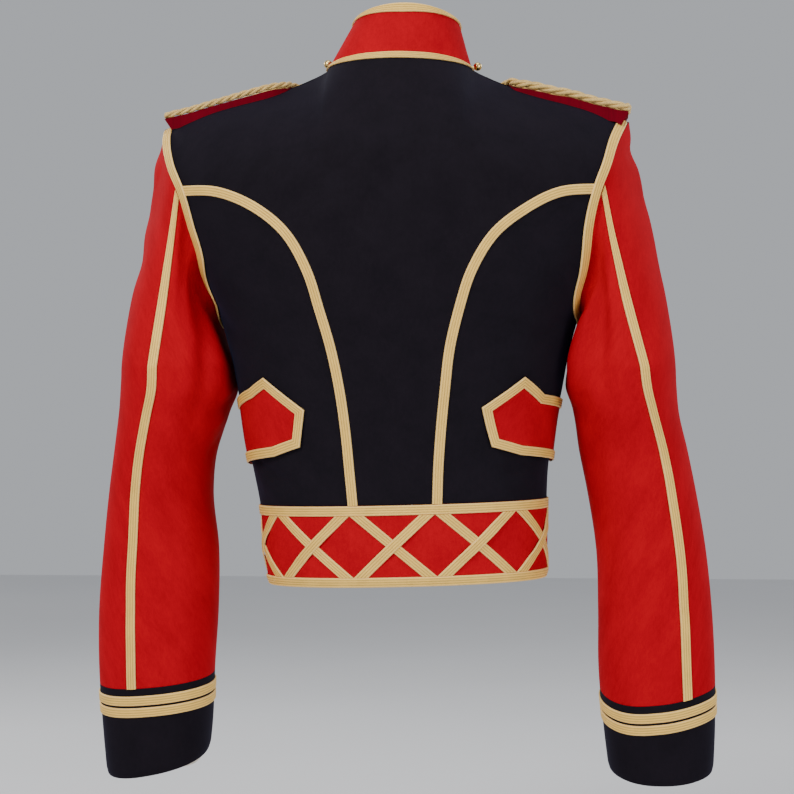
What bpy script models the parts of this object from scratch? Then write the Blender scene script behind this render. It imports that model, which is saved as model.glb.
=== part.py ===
"""A cropped military jacket, standing hollow in the shape it takes when worn.

Metres, +Z up. The front faces -Y and the wearer's left side is +X. The origin is midway between
the side-neck points, at the height of the shoulder seams where they meet the collar.

The body is one smooth surface, the Trunk, addressed by an angle (0 at the centre back, growing
towards the wearer's left) and a height. Seams are rows of samples on it, and two panels that meet
share the same samples. The sleeves leave the armholes and run into level oval sections.
"""

import math
from collections import namedtuple

import bmesh
import bpy
import numpy as np

# ---------------------------------------------------------------- cloth, trim and seams
WALL = 0.0020  # wool, with what is fused to it
STIFF_WALL = 0.0025  # collar and waistband
LINING_WALL = 0.0010
SEAM_GAP = 0.0003
BRAID_WIDTH = 0.0095
BRAID_THICKNESS = 0.0012
NARROW_BRAID = 0.0060  # the braid at the foot of the collar
ARMHOLE_BRAID_LIFT = 0.0011

# ---------------------------------------------------------------- body
WAIST = -0.4320  # seam between the body and the waistband
HEM = -0.5110
UNDERARM = -0.2500
CLOSING = 0.100  # the body leans in to the shoulder seam and the collar over this height
CLOSING_POWER = 2.2
RIDGE_ROUNDING = 0.7  # the shoulder's edge is sharp beside the neck and rounder further out
RIDGE_ROUND_FROM = 0.220
SHOULDER_SHARES = np.array([0.12, 0.27, 0.46, 0.70, 1.0])  # columns from the neck to the braid

Section = namedtuple(
    "Section", "height half_width back_depth front_depth roundness sway roll"
)
# sway: how far the section's middle lies towards the wearer's left
# roll: how much lower the left side hangs, for each metre to the left
TRUNK = (
    Section(0.010, 0.275, 0.088, 0.092, 2.5, 0.0000, 0.000),
    Section(-0.050, 0.262, 0.102, 0.108, 2.5, 0.0000, 0.000),
    Section(-0.100, 0.246, 0.113, 0.124, 2.5, 0.0000, 0.000),
    Section(-0.150, 0.224, 0.119, 0.136, 2.5, 0.0005, 0.000),
    Section(-0.200, 0.200, 0.121, 0.140, 2.5, 0.0005, 0.000),
    Section(-0.250, 0.1785, 0.119, 0.137, 2.4, 0.0005, 0.000),
    Section(-0.285, 0.1690, 0.116, 0.132, 2.35, 0.0005, 0.000),
    Section(-0.320, 0.1620, 0.113, 0.126, 2.3, 0.0000, 0.002),
    Section(-0.360, 0.1545, 0.110, 0.119, 2.2, 0.0005, 0.008),
    Section(-0.400, 0.1470, 0.107, 0.113, 2.2, -0.0010, 0.018),
    Section(-0.432, 0.1430, 0.105, 0.109, 2.2, -0.0035, 0.026),
    Section(-0.470, 0.1412, 0.104, 0.107, 2.2, -0.0055, 0.028),
    Section(-0.511, 0.1385, 0.103, 0.105, 2.2, -0.0080, 0.028),
)

NECK_HALF_WIDTH = 0.0725
NECK_BACK = (0.060, 0.0025)  # how far back, and how high, at the centre back
NECK_FRONT = (-0.080, -0.055)
NECK_SIDE_HEIGHT = 0.0010

Ridge = namedtuple("Ridge", "across height")
SHOULDER_RIDGE = (
    Ridge(0.0725, 0.0010),
    Ridge(0.0850, -0.0080),
    Ridge(0.0950, -0.0140),
    Ridge(0.1080, -0.0192),
    Ridge(0.1250, -0.0240),
    Ridge(0.1500, -0.0305),
    Ridge(0.1900, -0.0420),
    Ridge(0.2365, -0.0600),
    Ridge(0.2600, -0.0710),
)

# how far out the armhole seam lies on the back, on each side, and on the front
Armhole = namedtuple("Armhole", "height back_left back_right front")
ARMHOLE = (
    Armhole(-0.060, 0.2365, 0.2260, 0.2310),
    Armhole(-0.080, 0.2330, 0.2170, 0.2170),
    Armhole(-0.107, 0.2235, 0.2085, 0.2000),
    Armhole(-0.127, 0.2160, 0.2010, 0.1900),
    Armhole(-0.166, 0.2040, 0.1920, 0.1780),
    Armhole(-0.205, 0.1950, 0.1880, 0.1740),
    Armhole(-0.230, 0.1840, 0.1785, 0.1700),
)

# the curved seam from the waist up to the armhole, on each side
Curve = namedtuple("Curve", "left left_height right right_height")
PRINCESS = (
    Curve(0.0378, -0.4320, 0.0432, -0.4320),
    Curve(0.0405, -0.4000, 0.0447, -0.4000),
    Curve(0.0438, -0.3600, 0.0475, -0.3600),
    Curve(0.0490, -0.3200, 0.0515, -0.3200),
    Curve(0.0570, -0.2830, 0.0565, -0.2830),
    Curve(0.0680, -0.2450, 0.0655, -0.2450),
    Curve(0.0802, -0.2070, 0.0780, -0.2070),
    Curve(0.1030, -0.1690, 0.1025, -0.1690),
    Curve(0.1270, -0.1490, 0.1245, -0.1480),
    Curve(0.1680, -0.1300, 0.1600, -0.1285),
    Curve(0.2145, -0.1255, 0.1995, -0.1250),
)
CROSSING = -0.1270  # where the curved seam and the sleeve's back seam meet the armhole

FRONT_OVERLAP = 0.015  # each front passes the centre by this much, the left one on top
OVERLAP_LIFT = 0.0030
OVERLAP_FADE = (0.018, 0.046)

# ---------------------------------------------------------------- samples along the seams
SIDE_STEPS = 7  # rows of the side seam, from the waist to the underarm
LOW_BACK_STEPS = 6  # rows of the armhole, from the underarm to the crossing
HIGH_BACK_STEPS = 5  # from the crossing to the shoulder
FRONT_STEPS = 11  # from the shoulder down the front to the underarm
SEAM_STEPS = SIDE_STEPS + LOW_BACK_STEPS
FOREARM_STEP = 4  # the sleeve's front seam, counted along the front from the underarm

# ---------------------------------------------------------------- sleeves
SleeveSection = namedtuple("SleeveSection", "height outer inner middle half_depth")
# outer and inner: how far out the sleeve's two sides are; middle: its centre, + to the back
SLEEVE_LEFT = (
    SleeveSection(-0.300, 0.2767, 0.1710, -0.004, 0.072),
    SleeveSection(-0.342, 0.2816, 0.1757, -0.008, 0.069),
    SleeveSection(-0.382, 0.2884, 0.1854, -0.012, 0.066),
    SleeveSection(-0.422, 0.2943, 0.1905, -0.016, 0.063),
    SleeveSection(-0.482, 0.3025, 0.1869, -0.022, 0.060),
    SleeveSection(-0.542, 0.3085, 0.1880, -0.028, 0.057),
    SleeveSection(-0.602, 0.3100, 0.1925, -0.034, 0.054),
    SleeveSection(-0.660, 0.3077, 0.1957, -0.040, 0.051),
    SleeveSection(-0.725, 0.3032, 0.2040, -0.046, 0.048),
)
SLEEVE_RIGHT = (
    SleeveSection(-0.300, 0.2740, 0.1680, -0.004, 0.072),
    SleeveSection(-0.342, 0.2771, 0.1725, -0.008, 0.069),
    SleeveSection(-0.382, 0.2863, 0.1785, -0.012, 0.066),
    SleeveSection(-0.422, 0.2946, 0.1865, -0.016, 0.063),
    SleeveSection(-0.482, 0.3049, 0.1956, -0.022, 0.060),
    SleeveSection(-0.542, 0.3112, 0.1975, -0.028, 0.057),
    SleeveSection(-0.602, 0.3145, 0.1980, -0.034, 0.054),
    SleeveSection(-0.660, 0.3150, 0.2030, -0.040, 0.051),
    SleeveSection(-0.725, 0.3125, 0.2110, -0.046, 0.048),
)
SLEEVE_ROUNDNESS = 2.3
TUBE_START = -0.300  # below this height the sleeve is a stack of level sections
CAP_ROWS = 6
UNDERARM_EASE = 0.0008  # how much further the sleeve stands from the braid it folds over
TUBE_ROWS = 6

# where each point of the armhole leads: degrees round the armhole (0 at the shoulder, 90 at the
# back, 180 at the underarm), degrees round the sleeve (0 at the outer side, 90 at the back),
# degrees by which the sleeve turns away from the body's surface there, and its reach
Turn = namedtuple("Turn", "armhole sleeve turn reach")
CAP = (
    Turn(0.0, 0.0, -56.0, 0.80),
    Turn(40.0, 45.0, -36.0, 0.50),
    Turn(64.0, 68.0, -16.0, 0.14),
    Turn(110.0, 110.0, 18.0, 0.45),
    Turn(145.0, 143.0, 58.0, 0.60),
    Turn(180.0, 180.0, 90.0, 0.70),
    Turn(215.0, 219.0, 58.0, 0.60),
    Turn(250.0, 258.0, 20.0, 0.70),
    Turn(280.0, 290.0, -8.0, 0.80),
    Turn(315.0, 320.0, -30.0, 0.80),
    Turn(360.0, 360.0, -56.0, 0.80),
)
HINDARM_DEGREES = {"left": 75.5, "right": 63.5}  # where the back seam runs round each sleeve
HINDARM_SPREAD = 65.0

# the edge between sleeve and cuff, and the cuff's own bottom edge: height at the sleeve's middle,
# slope outwards, slope backwards, and how far a soft point dips at an angle round the sleeve
Edge = namedtuple("Edge", "height outward backward dip dip_angle")
CUFF_TOP = {
    "left": Edge(-0.6136, -0.077, -0.110, 0.0015, 60.0),
    "right": Edge(-0.6170, 0.020, -0.150, 0.010, 115.0),
}
CUFF_BOTTOM = {
    "left": Edge(-0.6990, -0.190, -0.250, 0.000, 60.0),
    "right": Edge(-0.7020, -0.020, -0.160, 0.006, 100.0),
}
CUFF_ROWS = 3
CUFF_BRAID_DROP = 0.0075  # plain navy above the first braid
CUFF_BRAID_STEP = 0.0120  # from one braid to the next
CUFF_LINING_HEIGHT = 0.035
CUFF_LINING_GAP = 0.0008

# ---------------------------------------------------------------- collar
COLLAR_TOP_HALF_WIDTH = 0.0535
COLLAR_TOP_SWAY = -0.0055
COLLAR_TOP_BACK = (0.050, 0.0575)  # how far back, and how high
COLLAR_TOP_FRONT = (-0.068, -0.0060)
COLLAR_TOP_SIDE_HEIGHT = 0.0420
COLLAR_ROWS = 4
COLLAR_LIFT = 0.0009  # the collar's foot over the neckline
FRONT_SPLIT = 0.0008  # the collar and the waistband meet edge to edge at the centre front

# ---------------------------------------------------------------- waistband
BAND_LIFT = 0.0005
BAND_STEPS = 44
CROSSINGS = 9
LATTICE_SHIFT = 0.004
LATTICE_ARM_STEPS = 2
LATTICE_LIFT = 0.0012

# ---------------------------------------------------------------- waist flaps
FlapPoint = namedtuple("FlapPoint", "along height")
# along: distance round the body from the side, + to the back
FLAP_OUTLINE = (
    FlapPoint(0.131, -0.3400),
    FlapPoint(0.125, -0.3755),
    FlapPoint(0.060, -0.3890),
    FlapPoint(0.000, -0.3960),
    FlapPoint(-0.104, -0.3770),
    FlapPoint(-0.110, -0.3430),
    FlapPoint(-0.070, -0.3130),
    FlapPoint(-0.030, -0.3310),
    FlapPoint(0.000, -0.3360),
    FlapPoint(0.035, -0.3340),
    FlapPoint(0.092, -0.3110),
)
FLAP_STEP = 0.014
FLAP_STAND_OFF = 0.0030
FLAP_LIFT = 0.0006  # over the panel, and again under the braid
FLAP_WALL = 0.0016

# ---------------------------------------------------------------- epaulettes
EPAULETTE_INNER = 0.0990
EPAULETTE_OUTER = 0.2290
Board = namedtuple("Board", "across half_width middle top crown")
# middle: how far back the board's middle line lies; top: height of its upper face there
# crown: how far the upper face falls to the board's edges
EPAULETTE = (
    Board(0.0990, 0.0130, 0.0200, -0.0170, 0.0040),
    Board(0.1150, 0.0190, 0.0110, -0.0190, 0.0080),
    Board(0.1400, 0.0245, 0.0040, -0.0245, 0.0090),
    Board(0.1700, 0.0280, 0.0000, -0.0315, 0.0070),
    Board(0.2000, 0.0300, 0.0000, -0.0405, 0.0048),
    Board(0.2290, 0.0310, 0.0000, -0.0485, 0.0030),
)
EPAULETTE_CLEARANCE = (0.0026, 0.0038)  # over the body, and over the armhole braid
EPAULETTE_LEAST = 0.0026
CORD_RADIUS = 0.0036
CORD_SIDES = 6
CORD_POINTS = 36
CORD_SEAT = 0.0016  # the cord's foot over the board's rim

# ---------------------------------------------------------------- buttons
FRONT_BUTTON_HEIGHTS = np.linspace(-0.078, -0.408, 7)
FRONT_BUTTON_RADIUS = 0.0070
NECK_BUTTON_RADIUS = 0.0047

FINISHES = {
    "navy_wool": ((0.013, 0.013, 0.022), 0.85, 0.0),
    "red_wool": ((0.560, 0.006, 0.012), 0.80, 0.0),
    "gold_braid": ((0.660, 0.470, 0.200), 0.55, 0.0),
    "gold_cord": ((0.680, 0.500, 0.220), 0.50, 0.0),
    "pale_lining": ((0.700, 0.660, 0.560), 0.80, 0.0),
    "brass": ((0.780, 0.560, 0.200), 0.30, 1.0),
}
SIDES = {"left": 1.0, "right": -1.0}


# ---------------------------------------------------------------- curves through short tables
def smooth(keys, values):
    """A smooth function through the given points, straight on beyond its ends."""
    order = np.argsort(keys)
    keys = np.asarray(keys, float)[order]
    values = np.asarray(values, float)[order]
    slopes = np.gradient(values, keys)

    def read(at):
        at = np.asarray(at, float)
        inside = np.clip(at, keys[0], keys[-1])
        low = np.clip(np.searchsorted(keys, inside) - 1, 0, len(keys) - 2)
        span = keys[low + 1] - keys[low]
        t = (inside - keys[low]) / span
        value = (
            (2 * t**3 - 3 * t**2 + 1) * values[low]
            + (t**3 - 2 * t**2 + t) * span * slopes[low]
            + (3 * t**2 - 2 * t**3) * values[low + 1]
            + (t**3 - t**2) * span * slopes[low + 1]
        )
        end_slope = np.where(at < keys[0], slopes[0], slopes[-1])
        return value + (at - inside) * end_slope

    return read


def column(table, key, name):
    """The named column of a table as a smooth function of its key column."""
    return smooth([getattr(row, key) for row in table], [getattr(row, name) for row in table])


def ease(at, start, end):
    """0 before start, 1 past end, smooth between."""
    t = np.clip((np.asarray(at, float) - start) / (end - start), 0.0, 1.0)
    return t * t * (3 - 2 * t)


def spaced(points, count):
    """Points evenly spaced along a row of points, count of them, ends kept."""
    points = np.asarray(points, float)
    lengths = np.linalg.norm(np.diff(points, axis=0), axis=1)
    along = np.concatenate([[0.0], np.cumsum(lengths)])
    targets = np.linspace(0.0, along[-1], count)
    return np.stack([np.interp(targets, along, column_) for column_ in points.T], axis=1)


def unit(vectors):
    return vectors / np.maximum(np.linalg.norm(vectors, axis=-1, keepdims=True), 1e-12)


# ---------------------------------------------------------------- the body's surface
class Trunk:
    """The body's smooth outer surface."""

    def __init__(self):
        self.half_width = column(TRUNK, "height", "half_width")
        self.back_depth = column(TRUNK, "height", "back_depth")
        self.front_depth = column(TRUNK, "height", "front_depth")
        self.roundness = column(TRUNK, "height", "roundness")
        self.sway = column(TRUNK, "height", "sway")
        self.roll = column(TRUNK, "height", "roll")
        self.ridge = column(SHOULDER_RIDGE, "across", "height")

    def top(self, across, front):
        """(how far back, how high) the body ends, at the neckline or the shoulder seam."""
        reach = np.abs(across) / NECK_HALF_WIDTH
        swing = np.sqrt(np.clip(1.0 - reach**2, 0.0, 1.0))
        depth = np.where(front, NECK_FRONT[0], NECK_BACK[0])
        middle = np.where(front, NECK_FRONT[1], NECK_BACK[1])
        neck_height = NECK_SIDE_HEIGHT + (middle - NECK_SIDE_HEIGHT) * swing ** np.where(front, 1.4, 1.0)
        in_neck = reach < 1.0
        height = np.where(in_neck, neck_height, self.ridge(np.maximum(np.abs(across), NECK_HALF_WIDTH)))
        return np.where(in_neck, depth * swing, 0.0), height

    def point(self, angle, height):
        """Points of the surface for angles and heights given as arrays."""
        angle, height = np.broadcast_arrays(np.asarray(angle, float), np.asarray(height, float))
        power = 2.0 / self.roundness(height)
        sine, cosine = np.sin(angle), np.cos(angle)
        front = cosine < 0
        across = self.half_width(height) * np.sign(sine) * np.abs(sine) ** power
        depth = np.where(front, -self.front_depth(height), self.back_depth(height))
        back = depth * np.abs(cosine) ** power
        end_back, end_height = self.top(across, front)
        rise = np.clip((end_height - height) / CLOSING, 0.0, 1.0)
        round_over = 1.0 + RIDGE_ROUNDING * ease(np.abs(across), NECK_HALF_WIDTH, RIDGE_ROUND_FROM)
        open_share = (1.0 - (1.0 - rise) ** CLOSING_POWER) ** (1.0 / round_over)
        back = end_back + (back - end_back) * open_share
        return np.stack(
            [across + self.sway(height), back, height - self.roll(height) * across], axis=-1
        )

    def normal(self, angle, height):
        """Outward unit normals."""
        step = 1e-3
        along = self.point(np.asarray(angle) + step, height) - self.point(np.asarray(angle) - step, height)
        up = self.point(angle, height) - self.point(angle, np.asarray(height) - 8e-4)
        return unit(np.cross(up, along))

    def lifted(self, angle, height, lift):
        """Points moved out of the surface by lift."""
        lift = np.asarray(lift, float)
        return self.point(angle, height) + self.normal(angle, height) * lift[..., None]

    def shifted(self, angle, height, move):
        """The (angle, height) of the surface points nearest to these points moved by move."""
        target = self.point(angle, height) + move
        angle, height = np.array(angle, float), np.array(height, float)
        for _ in range(3):
            here = self.point(angle, height)
            along = (self.point(angle + 1e-3, height) - self.point(angle - 1e-3, height)) / 2e-3
            down = (here - self.point(angle, height - 1e-3)) / 1e-3
            miss = target - here
            a, b, c = (along**2).sum(-1), (along * down).sum(-1), (down**2).sum(-1)
            p, q = (miss * along).sum(-1), (miss * down).sum(-1)
            whole = a * c - b * b
            angle = angle + (p * c - q * b) / whole
            height = height + (q * a - p * b) / whole
        return angle, height

    def angle_at(self, across, height, front=False):
        """The angle at which the surface is this far across, measured from its own middle."""
        share = np.clip(np.abs(across) / self.half_width(height), 0.0, 1.0)
        angle = np.arcsin(share ** (self.roundness(height) / 2.0))
        angle = np.where(front, np.pi - angle, angle)
        return angle * np.where(np.asarray(across) < 0, -1.0, 1.0)

    def angles_round(self, height):
        """A function from distance round the body, + to the left of the centre back, to angle."""
        angles = np.linspace(-np.pi, np.pi, 721)
        points = self.point(angles, height)
        lengths = np.linalg.norm(np.diff(points, axis=0), axis=1)
        along = np.concatenate([[0.0], np.cumsum(lengths)])
        along -= np.interp(0.0, angles, along)
        return lambda distance: np.interp(distance, along, angles)

    def girth(self, height):
        points = self.point(np.linspace(-np.pi, np.pi, 721), height)
        return np.linalg.norm(np.diff(points, axis=0), axis=1).sum()


TRUNK_SURFACE = Trunk()


# ---------------------------------------------------------------- meshes
def grid_faces(rows, columns, closed=False):
    """Quads over rows x columns of points, wrapping the columns round if closed."""
    faces = []
    for row in range(rows - 1):
        for col in range(columns if closed else columns - 1):
            after = (col + 1) % columns
            faces.append(
                (row * columns + col, row * columns + after,
                 (row + 1) * columns + after, (row + 1) * columns + col)
            )
    return faces


def grid_normals(grid, closed=False):
    """Unit normals of a grid of points, from its neighbours."""
    if closed:
        along = np.roll(grid, -1, axis=1) - np.roll(grid, 1, axis=1)
    else:
        along = np.gradient(grid, axis=1)
    up = np.gradient(grid, axis=0)
    return unit(np.cross(up, along))


def finish(name):
    """The Principled material of this name."""
    if name in bpy.data.materials:
        return bpy.data.materials[name]
    colour, roughness, metallic = FINISHES[name]
    material = bpy.data.materials.new(name)
    material.use_nodes = True
    shader = material.node_tree.nodes["Principled BSDF"]
    shader.inputs["Base Color"].default_value = (*colour, 1.0)
    shader.inputs["Roughness"].default_value = roughness
    shader.inputs["Metallic"].default_value = metallic
    material.diffuse_color = (*colour, 1.0)
    return material


def add_piece(name, vertices, faces, material, sharp_degrees=40.0):
    """One closed piece as an object, with its faces turned outwards."""
    mesh = bpy.data.meshes.new(name)
    mesh.from_pydata([tuple(map(float, vertex)) for vertex in vertices], [], faces)
    work = bmesh.new()
    work.from_mesh(mesh)
    bmesh.ops.recalc_face_normals(work, faces=work.faces)
    if work.calc_volume(signed=True) < 0:
        bmesh.ops.reverse_faces(work, faces=work.faces)
    work.to_mesh(mesh)
    work.free()
    mesh.shade_smooth()
    mesh.set_sharp_from_angle(angle=math.radians(sharp_degrees))
    mesh.materials.append(finish(material))
    piece = bpy.data.objects.new(name, mesh)
    bpy.context.collection.objects.link(piece)
    return piece


def add_wall(name, outer, inner, faces, material):
    """A wall between two matching sets of points, closed along every free edge of its faces."""
    outer = np.asarray(outer).reshape(-1, 3)
    inner = np.asarray(inner).reshape(-1, 3)
    count = len(outer)
    edges = {}
    for face in faces:
        for start, end in zip(face, face[1:] + face[:1]):
            edges[(start, end)] = edges.get((start, end), 0) + 1
    rim = [(start, end) for start, end in edges if (end, start) not in edges]
    walls = list(faces)
    walls += [tuple(count + index for index in reversed(face)) for face in faces]
    walls += [(end, start, start + count, end + count) for start, end in rim]
    return add_piece(name, np.concatenate([outer, inner]), walls, material)


def drawn_back(grid, inner, first_row=False, last_row=False, first_col=False, last_col=False, by=SEAM_GAP / 2):
    """Both grids with the chosen edges moved in, square to each edge, to leave half a seam gap."""
    grid, inner = grid.copy(), inner.copy()
    moves = []
    if first_row:
        moves.append((np.s_[0, :], np.s_[1, :], 0))
    if last_row:
        moves.append((np.s_[-1, :], np.s_[-2, :], 0))
    if first_col:
        moves.append((np.s_[:, 0], np.s_[:, 1], 1))
    if last_col:
        moves.append((np.s_[:, -1], np.s_[:, -2], 1))
    for edge, beside, axis in moves:
        towards = unit(grid[beside] - grid[edge])
        tangent = unit(np.gradient(grid[edge], axis=0))
        square = towards - (towards * tangent).sum(-1, keepdims=True) * tangent
        lean = np.maximum(np.linalg.norm(square, axis=-1, keepdims=True), 0.35)
        step = towards * by / lean
        grid[edge] = grid[edge] + step
        inner[edge] = inner[edge] + step
    return grid, inner


def add_strip(name, outer, inner, material, closed=False):
    """A flat braid through rows of two points, its upper face through outer, its lower through inner."""
    rows = len(outer)
    faces = []
    for row in range(rows if closed else rows - 1):
        after = (row + 1) % rows
        faces.append((row * 2, row * 2 + 1, after * 2 + 1, after * 2))
    return add_wall(name, outer, inner, faces, material)


def add_tube_loop(name, path, radius, sides, material):
    """A closed round cord along a closed path."""
    path = np.asarray(path)
    tangent = unit(np.roll(path, -1, axis=0) - np.roll(path, 1, axis=0))
    aside = unit(np.cross(tangent, np.array([0.0, 0.0, 1.0])))
    upward = np.cross(aside, tangent)
    turns = np.linspace(0.0, 2 * np.pi, sides, endpoint=False)
    rings = (
        path[:, None, :]
        + radius * np.cos(turns)[None, :, None] * aside[:, None, :]
        + radius * np.sin(turns)[None, :, None] * upward[:, None, :]
    )
    rows = len(path)
    faces = [
        (row * sides + side, row * sides + (side + 1) % sides,
         ((row + 1) % rows) * sides + (side + 1) % sides, ((row + 1) % rows) * sides + side)
        for row in range(rows)
        for side in range(sides)
    ]
    return add_piece(name, rings.reshape(-1, 3), faces, material, 180.0)


def add_ball_button(name, seat, outward, radius, material, sides=10):
    """A ball on a short shank, standing on its seat."""
    outward = unit(np.asarray(outward, float))
    aside = unit(np.cross(outward, np.array([0.3, 0.2, 1.0])))
    upward = np.cross(outward, aside)
    shank = radius * 0.42
    neck = radius * 0.30
    turns = np.linspace(-0.88, 1.0, 6)[:-1] * np.pi / 2
    profile = [(shank, 0.0), (shank, neck * 0.6)]
    profile += [(radius * math.cos(turn), neck + radius + radius * math.sin(turn)) for turn in turns[1:]]
    rings = []
    for spread, rise in profile:
        around = np.linspace(0.0, 2 * np.pi, sides, endpoint=False)
        rings.append(
            seat + outward * rise
            + spread * (np.cos(around)[:, None] * aside + np.sin(around)[:, None] * upward)
        )
    vertices = [*np.concatenate(rings), seat + outward * (neck + 2 * radius), seat]
    faces = grid_faces(len(rings), sides, closed=True)
    last = (len(rings) - 1) * sides
    tip, foot = len(vertices) - 2, len(vertices) - 1
    faces += [(last + side, last + (side + 1) % sides, tip) for side in range(sides)]
    faces += [((side + 1) % sides, side, foot) for side in range(sides)]
    return add_piece(name, vertices, faces, material, 60.0)


# ---------------------------------------------------------------- seams, as (angle, height) rows
def armhole_row(side, heights, front):
    """The armhole's (angle, height) samples at these heights."""
    name = "front" if front else "back_" + side
    reach = column(ARMHOLE, "height", name)(heights)
    body = TRUNK_SURFACE.half_width(heights)
    near_underarm = 1.0 - ease(heights, UNDERARM, UNDERARM + 0.032)
    reach = np.minimum(reach + (body - reach) * near_underarm**2, body)
    return np.stack([TRUNK_SURFACE.angle_at(reach, heights, front), heights], axis=1)


def seam_points(row, side):
    return TRUNK_SURFACE.point(row[:, 0] * SIDES[side], row[:, 1])


def even_rows(rows, side, count):
    """The (angle, height) row resampled so that its points are evenly spaced on the body."""
    points = seam_points(rows, side)
    lengths = np.linalg.norm(np.diff(points, axis=0), axis=1)
    along = np.concatenate([[0.0], np.cumsum(lengths)])
    targets = np.linspace(0.0, along[-1], count)
    return np.stack([np.interp(targets, along, rows[:, 0]), np.interp(targets, along, rows[:, 1])], axis=1)


def side_seam(side):
    heights = np.linspace(WAIST, UNDERARM, 40)
    return even_rows(np.stack([np.full_like(heights, np.pi / 2), heights], axis=1), side, SIDE_STEPS + 1)


def low_back_armhole(side):
    heights = UNDERARM + (CROSSING - UNDERARM) * np.linspace(0.0, 1.0, 60) ** 2
    return even_rows(armhole_row(side, heights, False), side, LOW_BACK_STEPS + 1)


def high_back_armhole(side):
    heights = np.linspace(CROSSING, shoulder_end(side), 40)
    return even_rows(armhole_row(side, heights, False), side, HIGH_BACK_STEPS + 1)


def front_armhole(side):
    heights = UNDERARM + (shoulder_end(side) - UNDERARM) * np.linspace(0.0, 1.0, 80) ** 2
    row = armhole_row(side, heights, True)
    # the front meets the back exactly at the shoulder's end
    meet = armhole_row(side, np.array([shoulder_end(side)]), False)[0]
    share = ease(heights, shoulder_end(side) - 0.05, shoulder_end(side))
    row[:, 0] += share * ((np.pi - meet[0]) - row[-1, 0])
    return even_rows(row, side, FRONT_STEPS + 1)


def shoulder_end(side):
    """The height at which the armhole's back row reaches the shoulder seam."""
    heights = np.linspace(-0.09, -0.03, 601)
    reach = column(ARMHOLE, "height", "back_" + side)(heights)
    return float(heights[np.argmin(np.abs(TRUNK_SURFACE.ridge(reach) - heights))])


def princess_seam(side):
    """From the waist up to the armhole crossing."""
    across = [getattr(row, side) for row in PRINCESS]
    heights = [getattr(row, side + "_height") for row in PRINCESS]
    steps = np.arange(len(PRINCESS))
    fine = np.linspace(0, len(PRINCESS) - 1, 200)
    across = smooth(steps, across)(fine)
    heights = smooth(steps, heights)(fine)
    row = np.stack([TRUNK_SURFACE.angle_at(across, heights), heights], axis=1)
    row = even_rows(row, side, SEAM_STEPS + 1)
    row[-1] = low_back_armhole(side)[-1]
    return row


# ---------------------------------------------------------------- body panels
def settle_on_top(across, height, share, front):
    """Heights eased on to the neckline and shoulder seam as share goes to 1."""
    _, end_height = TRUNK_SURFACE.top(across, front)
    return height + (end_height - height) * share


def back_columns(reach_at_top, over_neck=4):
    """Shares across half the back, with one column just at the side-neck point."""
    neck = NECK_HALF_WIDTH / reach_at_top
    inner = np.sin(np.linspace(0.0, np.pi / 2, over_neck + 1)) * neck
    under_braid = 1.0 - BRAID_WIDTH * 1.4 / reach_at_top
    return np.concatenate([inner, neck + (under_braid - neck) * SHOULDER_SHARES, [1.0]])


def back_grid():
    """Angles and heights of the centre back panel, right edge to left edge, waist to top."""
    halves = {}
    for side in SIDES:
        edge = np.concatenate([princess_seam(side), high_back_armhole(side)[1:]])
        points = seam_points(edge, side)
        lengths = np.linalg.norm(np.diff(points, axis=0), axis=1)
        along = np.concatenate([[0.0], np.cumsum(lengths)]) / lengths.sum()
        reach = np.abs(points[:, 0] - TRUNK_SURFACE.sway(edge[:, 1]))
        middle = WAIST + (NECK_BACK[1] - WAIST) * along
        shares = back_columns(reach[-1])
        across = shares[None, :] * reach[:, None]
        height = middle[:, None] + (edge[:, 1] - middle)[:, None] * shares[None, :] ** 2
        settle = ease(along, along[SEAM_STEPS] - 0.02, 1.0)[:, None] ** 2
        height = settle_on_top(across, height, settle, False)
        height[:, -1] = edge[:, 1]
        angle = TRUNK_SURFACE.angle_at(across, height)
        angle[:, -1] = edge[:, 0]
        halves[side] = (angle * SIDES[side], height)
    angle = np.concatenate([halves["right"][0][:, :0:-1], halves["left"][0]], axis=1)
    height_left, height_right = halves["left"][1], halves["right"][1]
    height_left[:, 0] = (height_left[:, 0] + height_right[:, 0]) / 2
    return angle, np.concatenate([height_right[:, :0:-1], height_left], axis=1)


def wall_grids(angle, height, lift=0.0, thickness=WALL):
    """Outer and inner points of a wall on the body, its shoulder edge cut straight down."""
    lift = np.broadcast_to(lift, angle.shape)
    outer = TRUNK_SURFACE.lifted(angle, height, lift)
    inner = TRUNK_SURFACE.lifted(angle, height, lift - thickness)
    on_ridge = np.abs(outer[-1, :, 0]) > NECK_HALF_WIDTH - 0.004
    inner[-1, on_ridge] = outer[-1, on_ridge] - np.array([0.0, 0.0, thickness])
    return outer, inner


def add_back():
    angle, height = back_grid()
    outer, inner = drawn_back(*wall_grids(angle, height), last_row=True, first_col=True, last_col=True)
    add_wall("back_panel", outer, inner, grid_faces(*angle.shape), "navy_wool")


def add_side_back(side):
    inner_edge = princess_seam(side)
    outer_edge = np.concatenate([side_seam(side), low_back_armhole(side)[1:]])
    shares = np.array([0.0, 0.08, 0.3, 0.55, 0.78, 0.92, 1.0])[None, :]
    angle = inner_edge[:-1, :1] + (outer_edge[:-1, :1] - inner_edge[:-1, :1]) * shares
    height = inner_edge[:-1, 1:] + (outer_edge[:-1, 1:] - inner_edge[:-1, 1:]) * shares
    outer, inner = drawn_back(*wall_grids(angle * SIDES[side], height), first_col=True, last_col=True)
    add_wall("side_back_" + side, outer, inner, grid_faces(*angle.shape), "navy_wool")


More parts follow.
